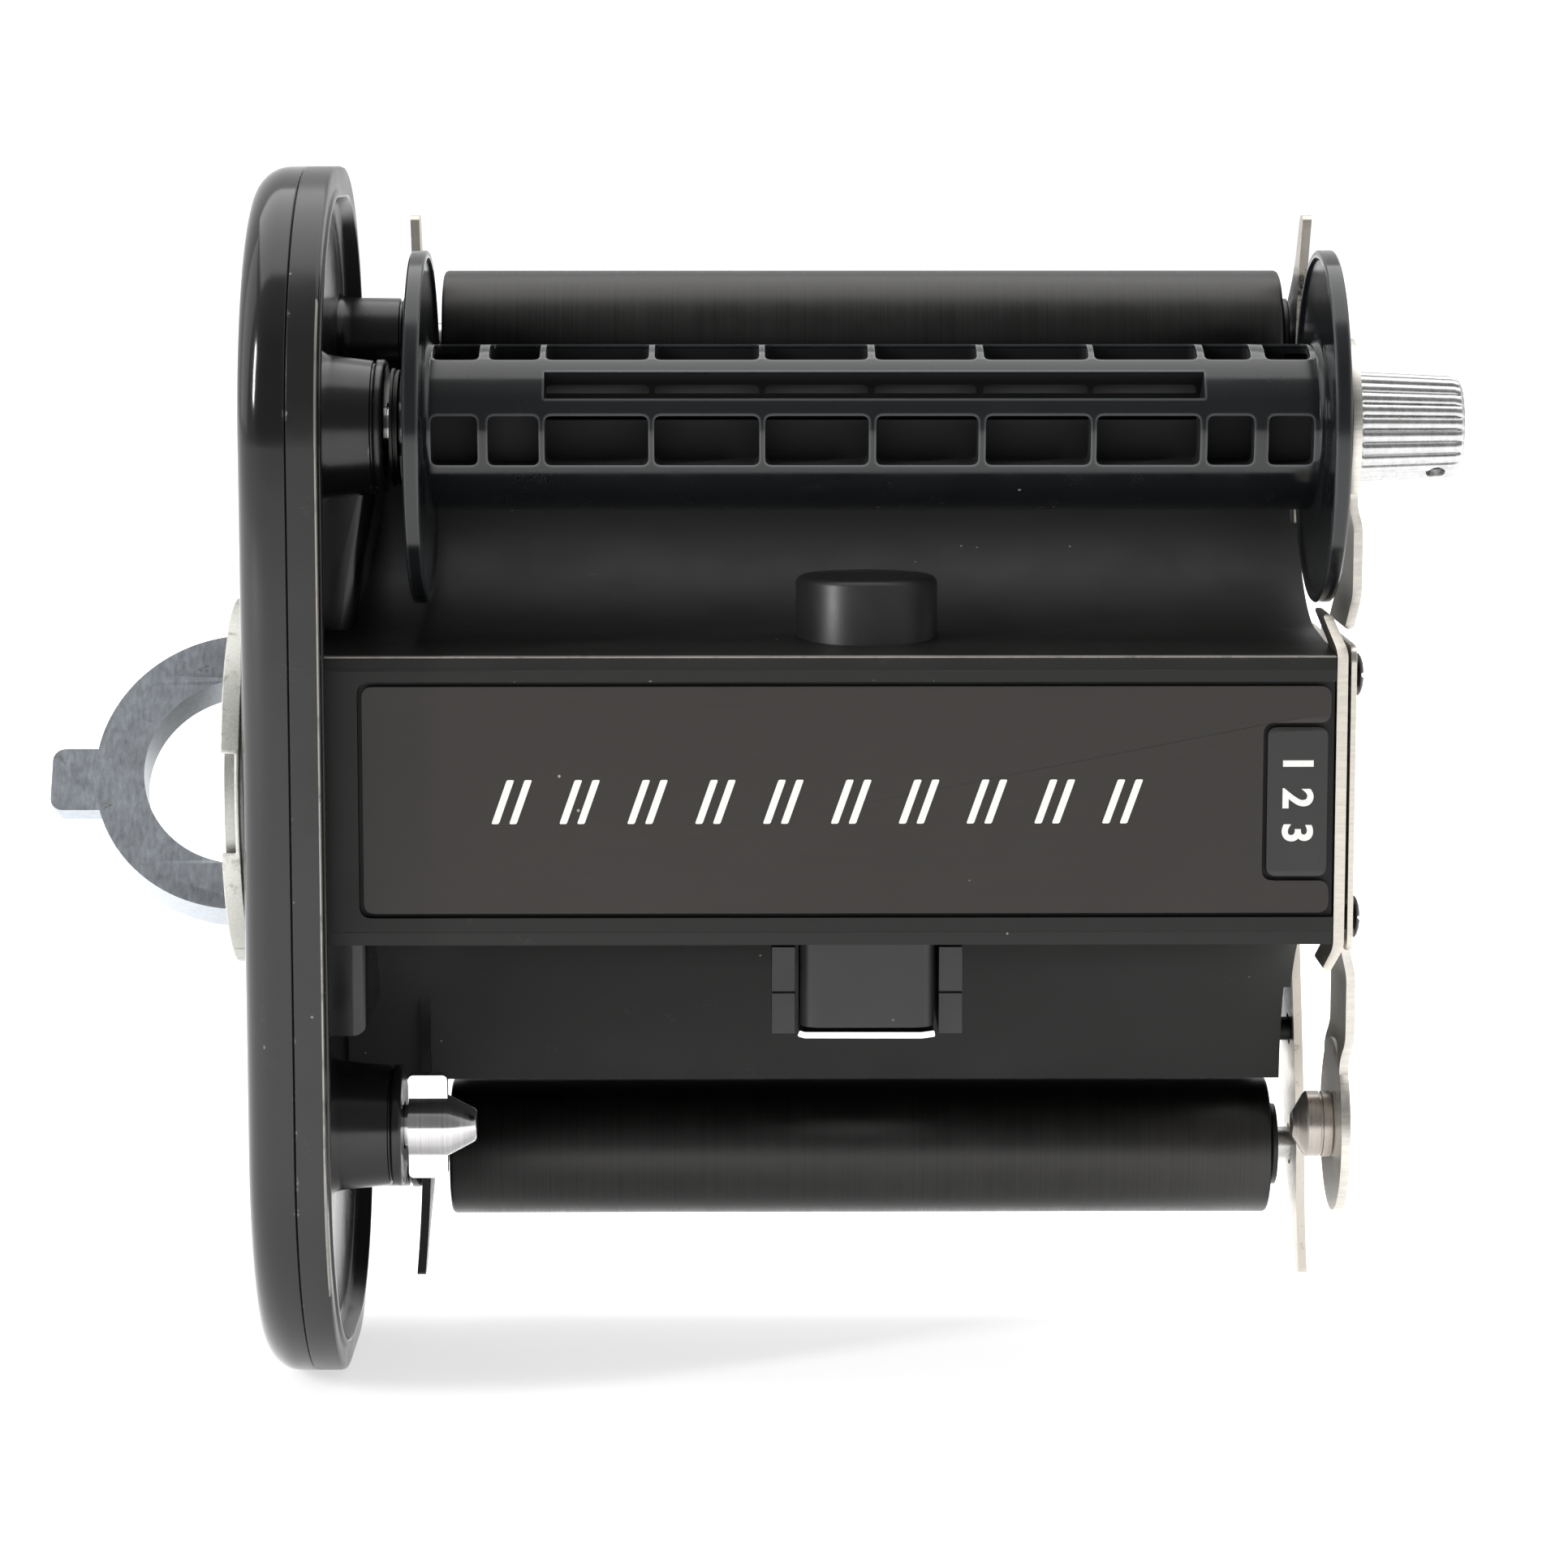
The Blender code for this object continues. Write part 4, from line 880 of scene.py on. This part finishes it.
def marks(face):
    """Plain generic marks: a row of paired slanted bars on the plate and three digits on the label."""
    parts = []
    count = 10
    left, right, half, slant = -25.4, 17.2, 1.55, 0.55
    apart, wide = 0.62, 0.26
    for i in range(count):
        middle = left + (right - left) * i / (count - 1)
        for x in (middle - apart, middle + apart):
            bar = [(x - wide - slant, -half), (x + wide - slant, -half)]
            bar += [(x + wide + slant, half), (x - wide + slant, half)]
            parts.append(prism([rounded(bar, 0.12, 3)], 0.05))
    here = at(0, face - 0.02, 0, OUTLINE_XZ)
    solid("plate_marks", merged(parts), PRINT_WHITE, "insert_frame", None, here)
    digits = []
    label_low, label_high = span("number_label")
    first, step = 2.65, 2.45
    for i, digit in enumerate("123"):
        text = bpy.data.curves.new("digit", "FONT")
        text.body = digit
        text.size = 2.9
        text.align_x = "CENTER"
        text.extrude = 0.025
        text.offset = 0.08
        glyph = evaluated(bpy.data.objects.new("digit", text))
        turn = Matrix.Rotation(-math.pi / 2, 4, "Z")
        place = ((label_low.x + label_high.x) / 2 - 0.95, first - step * i, 0)
        digits.append(moved(glyph, Matrix.Translation(place) @ turn))
    solid("label_digits", merged(digits), PRINT_WHITE, "insert_frame", None, here)


# ---- spool, pegs, rollers


PAPER_SLOT = (1.1, 23.25)
WINDOWS = (
    (-31.2, -27.9), (-27.2, -23.6), (-23.2, -15.9), (-15.5, -8.1), (-7.7, -0.4),
    (0.1, 7.3), (7.8, 15.2), (15.6, 22.9), (23.4, 26.7), (27.7, 30.9),
)


def spool():
    """A 120 spool: two flanges on a core with a paper slot and four rows of windows."""
    half, flange_t, flange_r, core_r = 32.75, 1.15, 12.55, 5.9
    inner = half - flange_t
    bore_r, bore_end = 3.6, half - 6.0
    right = [
        (bore_end, 0), (bore_end, bore_r), (half - 0.15, bore_r), (half, bore_r + 0.15),
        (half, flange_r - 1.3), (half - 0.15, flange_r - 1.15), (half - 0.15, flange_r - 0.5),
        (half, flange_r - 0.35), (half, flange_r - 0.12), (half - 0.12, flange_r),
        (inner + 0.12, flange_r), (inner, flange_r - 0.12), (inner, flange_r - 0.5),
        (inner + 0.2, flange_r - 0.7), (inner + 0.2, core_r + 0.9), (inner + 0.05, core_r + 0.3),
        (inner - 0.3, core_r),
    ]
    profile = right + [(-x, r) for x, r in reversed(right)]
    shape = lathe(profile, 120)
    key_half, key_across, key_depth = 5.2, 1.1, 3.3
    tools = []
    for x_low, x_high in ((-half - 1, key_depth - half), (half - key_depth, half + 1)):
        tools.append(block((-key_half, -key_across, x_low), (key_half, key_across, x_high)))
    tilt = math.radians(-34.0)
    across, along = PAPER_SLOT
    slot = block((-across, -core_r - 1, -along), (across, core_r + 1, along))
    tools.append(moved(slot, Matrix.Rotation(tilt, 4, "Z")))
    for turn in (tilt, tilt + math.pi):
        tools.append(merged([window(*ends, side, turn) for ends in WINDOWS for side in (-1, 1)]))
    shape = cut(shape, *tools)
    body = "take_up_spool"
    solid("take_up_spool_moulding", shape, SPOOL_PLASTIC, body, body, TAKE_UP_AXIS, bevel=0.07, sharp=40)


def window(low, high, side, turn):
    """A round-cornered window beside the paper slot, cut along the radius at its middle.

    It is shallow over the bores in the ends, so that it doesn't break into them.
    """
    outline = rounded(rectangle(low, high, -1.75, 1.75), 0.5, 4)
    floor = 3.95 if max(abs(low), abs(high)) > 26.7 else 2.9
    outside = 7.5
    cutter = moved(prism([outline], outside - floor), at(0, 0, (outside + floor) / 2))
    upright = Matrix.Rotation(math.pi / 2, 4, "Y")
    middle = turn - math.pi / 2 + side * math.radians(40.2)
    return moved(cutter, Matrix.Rotation(middle, 4, "Z") @ upright @ Matrix.Rotation(math.pi, 4, "Z"))


def left_peg(node, name, axis, collar):
    """A drive peg with two wings, a waist and a cone, along X."""
    low, high = span(node)
    shoulder, tip = -33.6, high.x
    profile = [(tip, 0), (tip, 1.0), (tip - 0.15, 1.2), (-30.75, 2.2), (shoulder, 2.2)]
    profile += [(shoulder, 1.5), (low.x, 1.5), (low.x, 0)]
    shape = lathe(profile, 56)
    wings = block((-3.8, -0.65, shoulder - 0.05), (3.8, 0.65, -30.8))
    ends = [e for e in wings.edges if abs(e.verts[0].co.y - e.verts[1].co.y) > 1]
    bmesh.ops.bevel(wings, geom=ends, offset=0.35, segments=3, profile=0.5, affect="EDGES")
    solid(name, joined(shape, wings), CHROME, node, node, axis, bevel=0.1, sharp=30)
    if collar:
        ring = [
            (shoulder + 0.05, 1.6), (shoulder + 0.05, 3.9), (shoulder - 0.1, 4.1),
            (shoulder - 0.25, 4.1), (shoulder - 0.3, 3.9), (shoulder - 0.4, 3.9),
            (shoulder - 0.45, 4.2), (-34.25, 4.2), (-34.25, 1.6),
        ]
        solid(f"{name}_collar", lathe(ring, 64, closed=True), BLACK_STEEL, node, None, axis)


def feed_right_peg():
    node = "feed_right_peg"
    low, high = span(node)
    tip, back = low.x, 33.6
    profile = [
        (high.x, 0), (high.x, 1.0), (back, 1.0), (back, 2.25), (back - 0.15, 2.4),
        (back - 0.75, 2.4), (back - 0.8, 2.27), (back - 0.9, 2.27), (back - 0.95, 2.4),
        (31.75, 2.4), (31.55, 2.2), (tip + 0.1, 1.0), (tip, 0.85), (tip, 0),
    ]
    solid("feed_right_peg_turned", lathe(profile, 56), PEG_STEEL, node, node, FEED_AXIS)


def rollers():
    for side, sign in (("upper", 1), ("lower", -1)):
        low, high = span(f"{side}_roller")
        radius = (high.z - low.z) / 2
        bore = 1.6
        right = [
            (high.x - 0.5, bore), (high.x - 0.5, radius - 0.9), (high.x, radius - 0.75),
            (high.x, radius - 0.3), (high.x - 0.1, radius - 0.1), (high.x - 0.3, radius),
        ]
        left = [
            (low.x + 0.3, radius), (low.x + 0.1, radius - 0.1), (low.x, radius - 0.3),
            (low.x, radius - 0.75), (low.x + 0.5, radius - 0.9), (low.x + 0.5, bore),
        ]
        node = f"{side}_roller"
        here = at(0, ROLLER.y, sign * ROLLER.z, ALONG_X)
        tube = lathe(right + left, 96, closed=True)
        solid(f"{side}_film_roller", tube, ROLLER_BLACK, node, node, here)
        node = f"{side}_axle"
        low, high = span(node)
        ends = [(low.x, 0), (low.x, 1.1), (low.x + 0.2, 1.3)]
        ends += [(high.x - 0.2, 1.3), (high.x, 1.1), (high.x, 0)]
        solid(f"{side}_roller_axle", lathe(ends, 40), STEEL, "insert_frame", node, here)
        node = f"{side}_collar"
        low, high = span(node)
        radius = (high.z - low.z) / 2
        ring = [(high.x, 1.5), (high.x, radius), (low.x, radius), (low.x, 1.5)]
        collar = lathe(ring, 48, closed=True)
        solid(f"{side}_axle_collar", collar, SHOE_PLASTIC, "insert_frame", node, here, bevel=0.08)


def side_sheets():
    """Two flat sheets with horns, cut across at every millimetre so that they bend smoothly."""
    for side in ("left", "right"):
        node = f"{side}_side_sheet"
        low, high = span(node)
        tip = high.z
        upper = [
            (12.7, 20.0), (13.0, 27.0), (13.5, 33.0), (14.0, 36.6), (14.3, tip - 0.3), (14.7, tip),
            (16.0, tip), (16.4, tip - 0.4), (16.7, 36.8), (18.2, 35.0), (20.6, 33.2), (21.5, 30.4),
        ]
        outline = [(12.7, 0)] + upper + [(y, -z) for y, z in reversed(upper)]
        holes = [circle((ROLLER.y, sign * ROLLER.z), 1.6, 32) for sign in (1, -1)]
        holes += [circle((16.5, sign * 21.5), 1.2, 24) for sign in (1, -1)]
        shape = prism([rounded(outline, 1.2, 5)] + holes, high.x - low.x)
        for height in range(-39, 40):
            geometry = shape.verts[:] + shape.edges[:] + shape.faces[:]
            bmesh.ops.bisect_plane(shape, geom=geometry, plane_co=(0, height, 0), plane_no=(0, 1, 0))
        for vert in shape.verts:
            vert.co.z += sheet_bend(side, vert.co.y)
        here = at((low.x + high.x) / 2, 0, 0, OUTLINE_YZ)
        steel = SHEET_STEEL if side == "left" else BARE_SHEET
        solid(f"{side}_sheet", shape, steel, "insert_frame", node, here)


def sheet_bend(side, z):
    """How far the horns lean along X, in millimetres: they are bent with use."""
    tip = max(0.0, (abs(z) - 30) / 10.2) ** 1.6
    if side == "left":
        return -0.25 * tip if z > 0 else -0.6 * tip
    lean = 0.95 * max(0.0, min(1.0, (-z - 8) / 22))
    return lean + (0.55 * tip if z > 0 else 0.45 * tip)


def rivets():
    for side, angle in (("left", -90), ("right", 90)):
        turn = Matrix.Rotation(math.radians(angle), 4, "Y")
        for level, sign in (("upper", 1), ("lower", -1)):
            node = f"{level}_{side}_sheet_rivet"
            low, high = span(node)
            sheet_low, sheet_high = span(f"{side}_side_sheet")
            middle = (sheet_low.x + sheet_high.x) / 2
            head = 0.325 + 0.3
            angles = (0.0, 0.4, 0.8, 1.2, math.pi / 2)
            dome = [(head + 0.35 * math.cos(a), 1.6 * math.sin(a)) for a in angles]
            profile = dome + [(head, 0.9), (-3.0, 0.9), (-3.0, 0)]
            here = at(middle, (low.y + high.y) / 2, (low.z + high.z) / 2, turn)
            solid(f"{node}_head", lathe(profile, 32), BLACK_STEEL, "insert_frame", node, here)


def pressure_plate():
    low, high = span("pressure_plate")
    outline = rounded(rectangle(low.x, high.x, low.z, high.z), 1.2, 6)
    plate = moved(prism([outline], high.y - low.y), at(0, (low.y + high.y) / 2, 0, OUTLINE_XZ))
    solid("film_pressure_plate", plate, PLATE_BLACK, "pressure_plate", "pressure_plate", bevel=0.22, steps=3)
    low, high = span("pressure_spring")
    thick, half = 0.4, high.x
    rise = high.y - low.y - thick
    steps = [-1 + i / 16 for i in range(33)]
    outer = [(half * t, high.y - rise * t * t) for t in steps]
    inner = [(x, y - thick) for x, y in reversed(outer)]
    leaf = prism([outer + inner], high.z - low.z)
    solid("pressure_leaf", leaf, STEEL, "insert_frame", "pressure_spring", bevel=0.05)


# ---- damper and shoe


def damper():
    low, high = span("roll_damper")
    radius = (high.x - low.x) / 2
    middle = (low + high) / 2
    radii = (radius * 0.3, radius * 0.6, radius - 0.5)
    wall = radius - 1.2
    profile = [(high.z, 0)] + [(high.z - 0.04 * (r / radius) ** 2, r) for r in radii]
    profile += [(high.z - 0.15, radius - 0.2), (high.z - 0.45, radius), (low.z, radius)]
    profile += [(low.z, wall), (high.z - 1.4, wall), (high.z - 1.4, 0)]
    here = at(middle.x, middle.y, 0)
    solid("film_roll_damper", lathe(profile, 72), SHOE_PLASTIC, "roll_damper", "roll_damper", here)
    spring("damper_spring", "damper_coil", 0, 3.8)
    spring("shoe_spring", "shoe_coil", 4.5, 0)


def spring(node, name, off_foot, off_top):
    """A coil drawn short at one end by the plunger's travel, so that it stays inside when pressed."""
    low, high = span(node)
    wire = 0.3
    radius = (high.x - low.x) / 2 - wire
    middle = (low + high) / 2
    coil = helix(radius, low.z + off_foot, high.z - off_top, 5, wire)
    solid(name, coil, STEEL, "insert_frame", node, at(middle.x, middle.y, 0))


def shoe():
    low, high = span("brake_shoe")
    middle = (low + high) / 2
    outline = rounded(rectangle(low.x, high.x, low.y, high.y), 1.7, 8)
    shape = moved(prism([outline], high.z - low.z), at(0, 0, middle.z))
    shape = cut(shape, moved(rod(low.z + 1.5, high.z + 1, 3.3, 40), at(middle.x, middle.y, 0)))
    solid("feed_brake_shoe", shape, SHOE_PLASTIC, "brake_shoe", "brake_shoe", bevel=0.18)
    low, high = span("brake_strip")
    thick = 0.45
    path = [(low.x, high.z), (low.x + 0.35, low.z + thick + 0.02)]
    path += [(high.x - 0.9, low.z + thick), (high.x, high.z - 0.02)]
    strip = prism([rounded(thickened(path, thick), 0.12, 3)], high.y - low.y)
    here = at(0, (low.y + high.y) / 2, 0, OUTLINE_XZ)
    solid("feed_brake_strip", strip, STRIP, "brake_shoe", "brake_strip", here)
    for side in ("left", "right"):
        low, high = span(f"shoe_guide_{side}")
        shape = block(low, high)
        groove = (low.z + high.z) / 2 - 0.2
        step = block((low.x - 1, low.y - 1, groove), (high.x + 1, low.y + 0.15, groove + 0.12))
        shape = cut(shape, step)
        solid(f"brake_guide_{side}", shape, SHOE_PLASTIC, "insert_frame", f"shoe_guide_{side}", bevel=0.14)


# ---- plates, arms and knob


def side_plates():
    low, high = span("side_plate")
    x1 = high.x - 0.2
    x0 = x1 - 0.75
    top = 10.45
    section = [(x0, -top), (x0 - 0.75, -top - 1.5), (x1 - 0.95, -top - 1.7), (x1, -top)]
    section += [(x1, top), (x1 - 1.2, top + 2.6), (x0 - 1.1, top + 2.6), (x0, top)]
    here = at(0, (low.y + high.y) / 2, 0, OUTLINE_XZ)
    shape = moved(prism([rounded(section, 0.5, 5)], high.y - low.y), here)
    tools = []
    for sign in (1, -1):
        z_low, z_high = sorted((sign * (top + 0.02), sign * (top + 5)))
        tools.append(block((x0 - 3, low.y + 5.0, z_low), (x1 + 1, high.y + 1, z_high)))
    shape = cut(shape, *tools, *screw_holes(x0 - 1, x1 + 1))
    solid("block_side_plate", shape, NICKEL, "insert_frame", "side_plate", bevel=0.08, sharp=40)
    low, high = span("spring_plate")
    outline = rounded(rectangle(low.y, high.y, low.z, high.z), 1.2, 6)
    shape = moved(prism([outline], high.x - low.x), at((low.x + high.x) / 2 - 0.25, 0, 0, OUTLINE_YZ))
    shape = cut(shape, *screw_holes(low.x - 1, high.x + 1))
    solid("arm_spring_plate", shape, NICKEL, "insert_frame", "spring_plate", bevel=0.06)
    for level in ("upper", "lower"):
        plate_screw(f"{level}_plate_screw")


def screw_places():
    places = []
    for level in ("upper", "lower"):
        low, high = span(f"{level}_plate_screw")
        places.append(((low.y + high.y) / 2, (low.z + high.z) / 2))
    return places


def screw_holes(low, high):
    return [moved(rod(low, high, 1.2, 24), at(0, y, z, ALONG_X)) for y, z in screw_places()]


def plate_screw(node):
    low, high = span(node)
    y, z = (low.y + high.y) / 2, (low.z + high.z) / 2
    head = high.x - 0.7
    radius = (high.y - low.y) / 2
    dome = [(head + 0.45 * math.cos(a), radius * math.sin(a)) for a in (0, 0.35, 0.7, 1.05, 1.35)]
    profile = dome + [(head + 0.05, radius), (head, radius - 0.05), (head, 0.9), (low.x, 0.9), (low.x, 0)]
    slot = block((head + 0.15, y - 3, z - 0.22), (head + 2, y + 3, z + 0.22))
    shape = cut(moved(lathe(profile, 40), at(0, y, z, ALONG_X)), slot)
    solid(f"{node}_slotted", shape, BLACK_STEEL, "insert_frame", node, sharp=30)


def arms():
    """Sprung arms, each stepped outwards at its root and inwards again before its round eye."""
    for node, sign, hole in (("upper_arm", 1, 1.8), ("lower_arm", -1, 1.3)):
        low, high = span(node)
        thick = 0.65
        inner = high.x - thick
        path = [(low.x, 11.3), (inner + 0.1, 13.7), (inner + 0.1, 18.6)]
        path += [(inner - 0.3, 19.9), (inner - 0.3, TOP)]
        path = [(x, sign * z) for x, z in path]
        section = path + [(x + thick, z) for x, z in reversed(path)]
        strip = moved(prism([rounded(section, 0.6, 4)], 8.8), at(0, 0, 0, OUTLINE_XZ))
        here = at(0, 0, sign * TOP, ALONG_X)
        eye = moved(rod(inner - 0.3, high.x - 0.3, 6.3, 96), here)
        tool = moved(rod(inner - 1, high.x + 1, hole, 40), here)
        shape = cut(joined(strip, eye), tool)
        solid(f"{node}_spring", shape, ARM_NICKEL, node, node, bevel=0.08, sharp=40)


def knob():
    low, high = span("winding_knob")
    wide, narrow, flutes, depth = 3.95, 3.6, 24, 0.3
    per_flute = 10
    bm = bmesh.new()

    def ring(x, radius, cut_depth):
        points = []
        for i in range(flutes * per_flute):
            rib = math.sin(math.pi * (i % per_flute) / per_flute) ** 0.6
            angle = 2 * math.pi * i / (flutes * per_flute)
            r = radius - cut_depth * (1 - rib)
            points.append(bm.verts.new((r * math.cos(angle), r * math.sin(angle), x)))
        return points

    rings = [
        ring(low.x - 0.5, wide - 0.3, 0),
        ring(low.x - 0.4, wide - 0.1, 0.05),
        ring(low.x - 0.1, wide, depth),
        ring(high.x - 0.7, narrow + 0.03, depth),
        ring(high.x - 0.25, narrow - 0.1, depth * 0.6),
        ring(high.x, narrow - 0.5, 0),
    ]
    for a, b in zip(rings, rings[1:]):
        for i in range(len(a)):
            j = (i + 1) % len(a)
            bm.faces.new((a[i], a[j], b[j], b[i]))
    bm.faces.new(rings[0])
    bm.faces.new(rings[-1])
    pin_low, pin_high = span("knob_pin")
    tilt = Matrix.Rotation(math.radians(-30.0), 4, "X")
    across = at((pin_low.x + pin_high.x) / 2, 0, TOP, tilt)
    bore = moved(rod(low.x - 1, high.x - 0.8, 1.8, 32), TAKE_UP_AXIS)
    pin_bore = moved(rod(-6, 6, 0.7, 20), across)
    shape = cut(moved(bm, TAKE_UP_AXIS), bore, pin_bore)
    solid("fluted_knob", shape, KNOB_CHROME, "winding_knob", "winding_knob", bevel=0.05, sharp=40)
    pin = [(-3.1, 0), (-3.1, 0.35), (-3.0, 0.45), (3.0, 0.45), (3.1, 0.35), (3.1, 0)]
    solid("knob_cross_pin", lathe(pin, 20), STEEL, "winding_knob", "knob_pin", across)
    low, high = span("winding_shaft")
    shoulder = 33.4
    profile = [(high.x, 0), (high.x, 1.5), (shoulder, 1.5), (shoulder, 2.2)]
    profile += [(low.x + 1.8, 2.2), (low.x, 1.25), (low.x, 0)]
    blade = block((-3.8, -0.65, low.x + 2.0), (3.8, 0.65, 32.65))
    shaft = moved(joined(lathe(profile, 48), blade), TAKE_UP_AXIS)
    shape = cut(shaft, moved(rod(-6, 6, 0.7, 20), across))
    solid("winding_shaft_turned", shape, CHROME, "winding_knob", "winding_shaft", bevel=0.08)


# ---- stage


def stage():
    scene = bpy.context.scene
    low, high = cad_box
    floor_mesh = bpy.data.meshes.new("floor")
    bm = bmesh.new()
    bmesh.ops.create_grid(bm, x_segments=1, y_segments=1, size=3.0)
    bm.to_mesh(floor_mesh)
    bm.free()
    floor = bpy.data.objects.new("floor", floor_mesh)
    floor.location = (0, 0, low[2])
    scene.collection.objects.link(floor)
    paper = bpy.data.materials.new("white_floor")
    paper.use_nodes = True
    shader = paper.node_tree.nodes["Principled BSDF"]
    shader.inputs["Base Color"].default_value = (0.92, 0.92, 0.92, 1)
    shader.inputs["Emission Color"].default_value = (1, 1, 1, 1)
    shader.inputs["Emission Strength"].default_value = 0.62
    shader.inputs["Roughness"].default_value = 0.7
    shader.inputs["Specular IOR Level"].default_value = 0.1
    floor_mesh.materials.append(paper)

    for name, place, size, power, aim in (
        ("overhead", (0.0, 0.25, 1.1), (1.7, 1.2), 12.0, (0, 0, 0.04)),
        ("left_side", (-0.9, 0.15, 0.45), (0.6, 0.8), 1.2, (0, 0, 0.04)),
        ("left_strip", (-0.78, -0.46, 0.42), (0.08, 0.34), 4.0, (-0.04, 0, 0.06)),
        ("right_side", (0.9, 0.15, 0.45), (0.6, 0.8), 0.7, (0, 0, 0.04)),
    ):
        lamp = bpy.data.lights.new(name, "AREA")
        lamp.shape = "RECTANGLE"
        lamp.size, lamp.size_y = size
        lamp.energy = power
        holder = bpy.data.objects.new(name, lamp)
        holder.location = place
        holder.rotation_euler = (Vector(aim) - Vector(place)).to_track_quat("-Z", "Y").to_euler()
        scene.collection.objects.link(holder)

    world = bpy.data.worlds.new("studio")
    scene.world = world
    world.use_nodes = True
    tree = world.node_tree
    coordinates = tree.nodes.new("ShaderNodeTexCoord")
    parts = tree.nodes.new("ShaderNodeSeparateXYZ")
    tree.links.new(coordinates.outputs["Generated"], parts.inputs[0])
    depth = tree.nodes.new("ShaderNodeMapRange")
    tree.links.new(parts.outputs[1], depth.inputs[0])
    for socket, value in zip(depth.inputs[1:5], (-0.75, 0.25, 0.26, 0.85)):
        socket.default_value = value
    seen = tree.nodes.new("ShaderNodeLightPath")
    strength = tree.nodes.new("ShaderNodeMix")
    tree.links.new(seen.outputs["Is Camera Ray"], strength.inputs[0])
    tree.links.new(depth.outputs[0], strength.inputs[2])
    strength.inputs[3].default_value = 1.05
    background = tree.nodes["Background"]
    background.inputs[0].default_value = (1, 1, 1, 1)
    tree.links.new(strength.outputs[0], background.inputs[1])
    scene.view_settings.view_transform = "Standard"


def camera():
    """The photograph's view: a long lens, a little left of the middle and just above it."""
    distance = 335
    turn, drop = math.radians(0.5), math.radians(7.8)
    aim = CENTRE + Vector((-6.32, 0, -0.34)) * MM
    gaze = Vector((math.sin(turn) * math.cos(drop), math.cos(turn) * math.cos(drop), -math.sin(drop)))
    data = bpy.data.cameras.new("camera")
    data.sensor_width = 36
    data.lens = 106.5
    data.clip_start = 0.01
    holder = bpy.data.objects.new("camera", data)
    holder.location = aim - gaze * distance * MM
    holder.rotation_euler = gaze.to_track_quat("-Z", "Y").to_euler()
    bpy.context.scene.collection.objects.link(holder)
    bpy.context.scene.camera = holder


camera()
stage()
end_cover()
end_frame()
key_bezel()
key_hub()
key_pin()
lock_cam()
key_ring()
body_casting()
labels()
spool()
left_peg("take_up_left_peg", "take_up_drive_peg", TAKE_UP_AXIS, True)
left_peg("feed_left_peg", "feed_winged_peg", FEED_AXIS, False)
feed_right_peg()
rollers()
side_sheets()
rivets()
pressure_plate()
damper()
shoe()
side_plates()
arms()
knob()
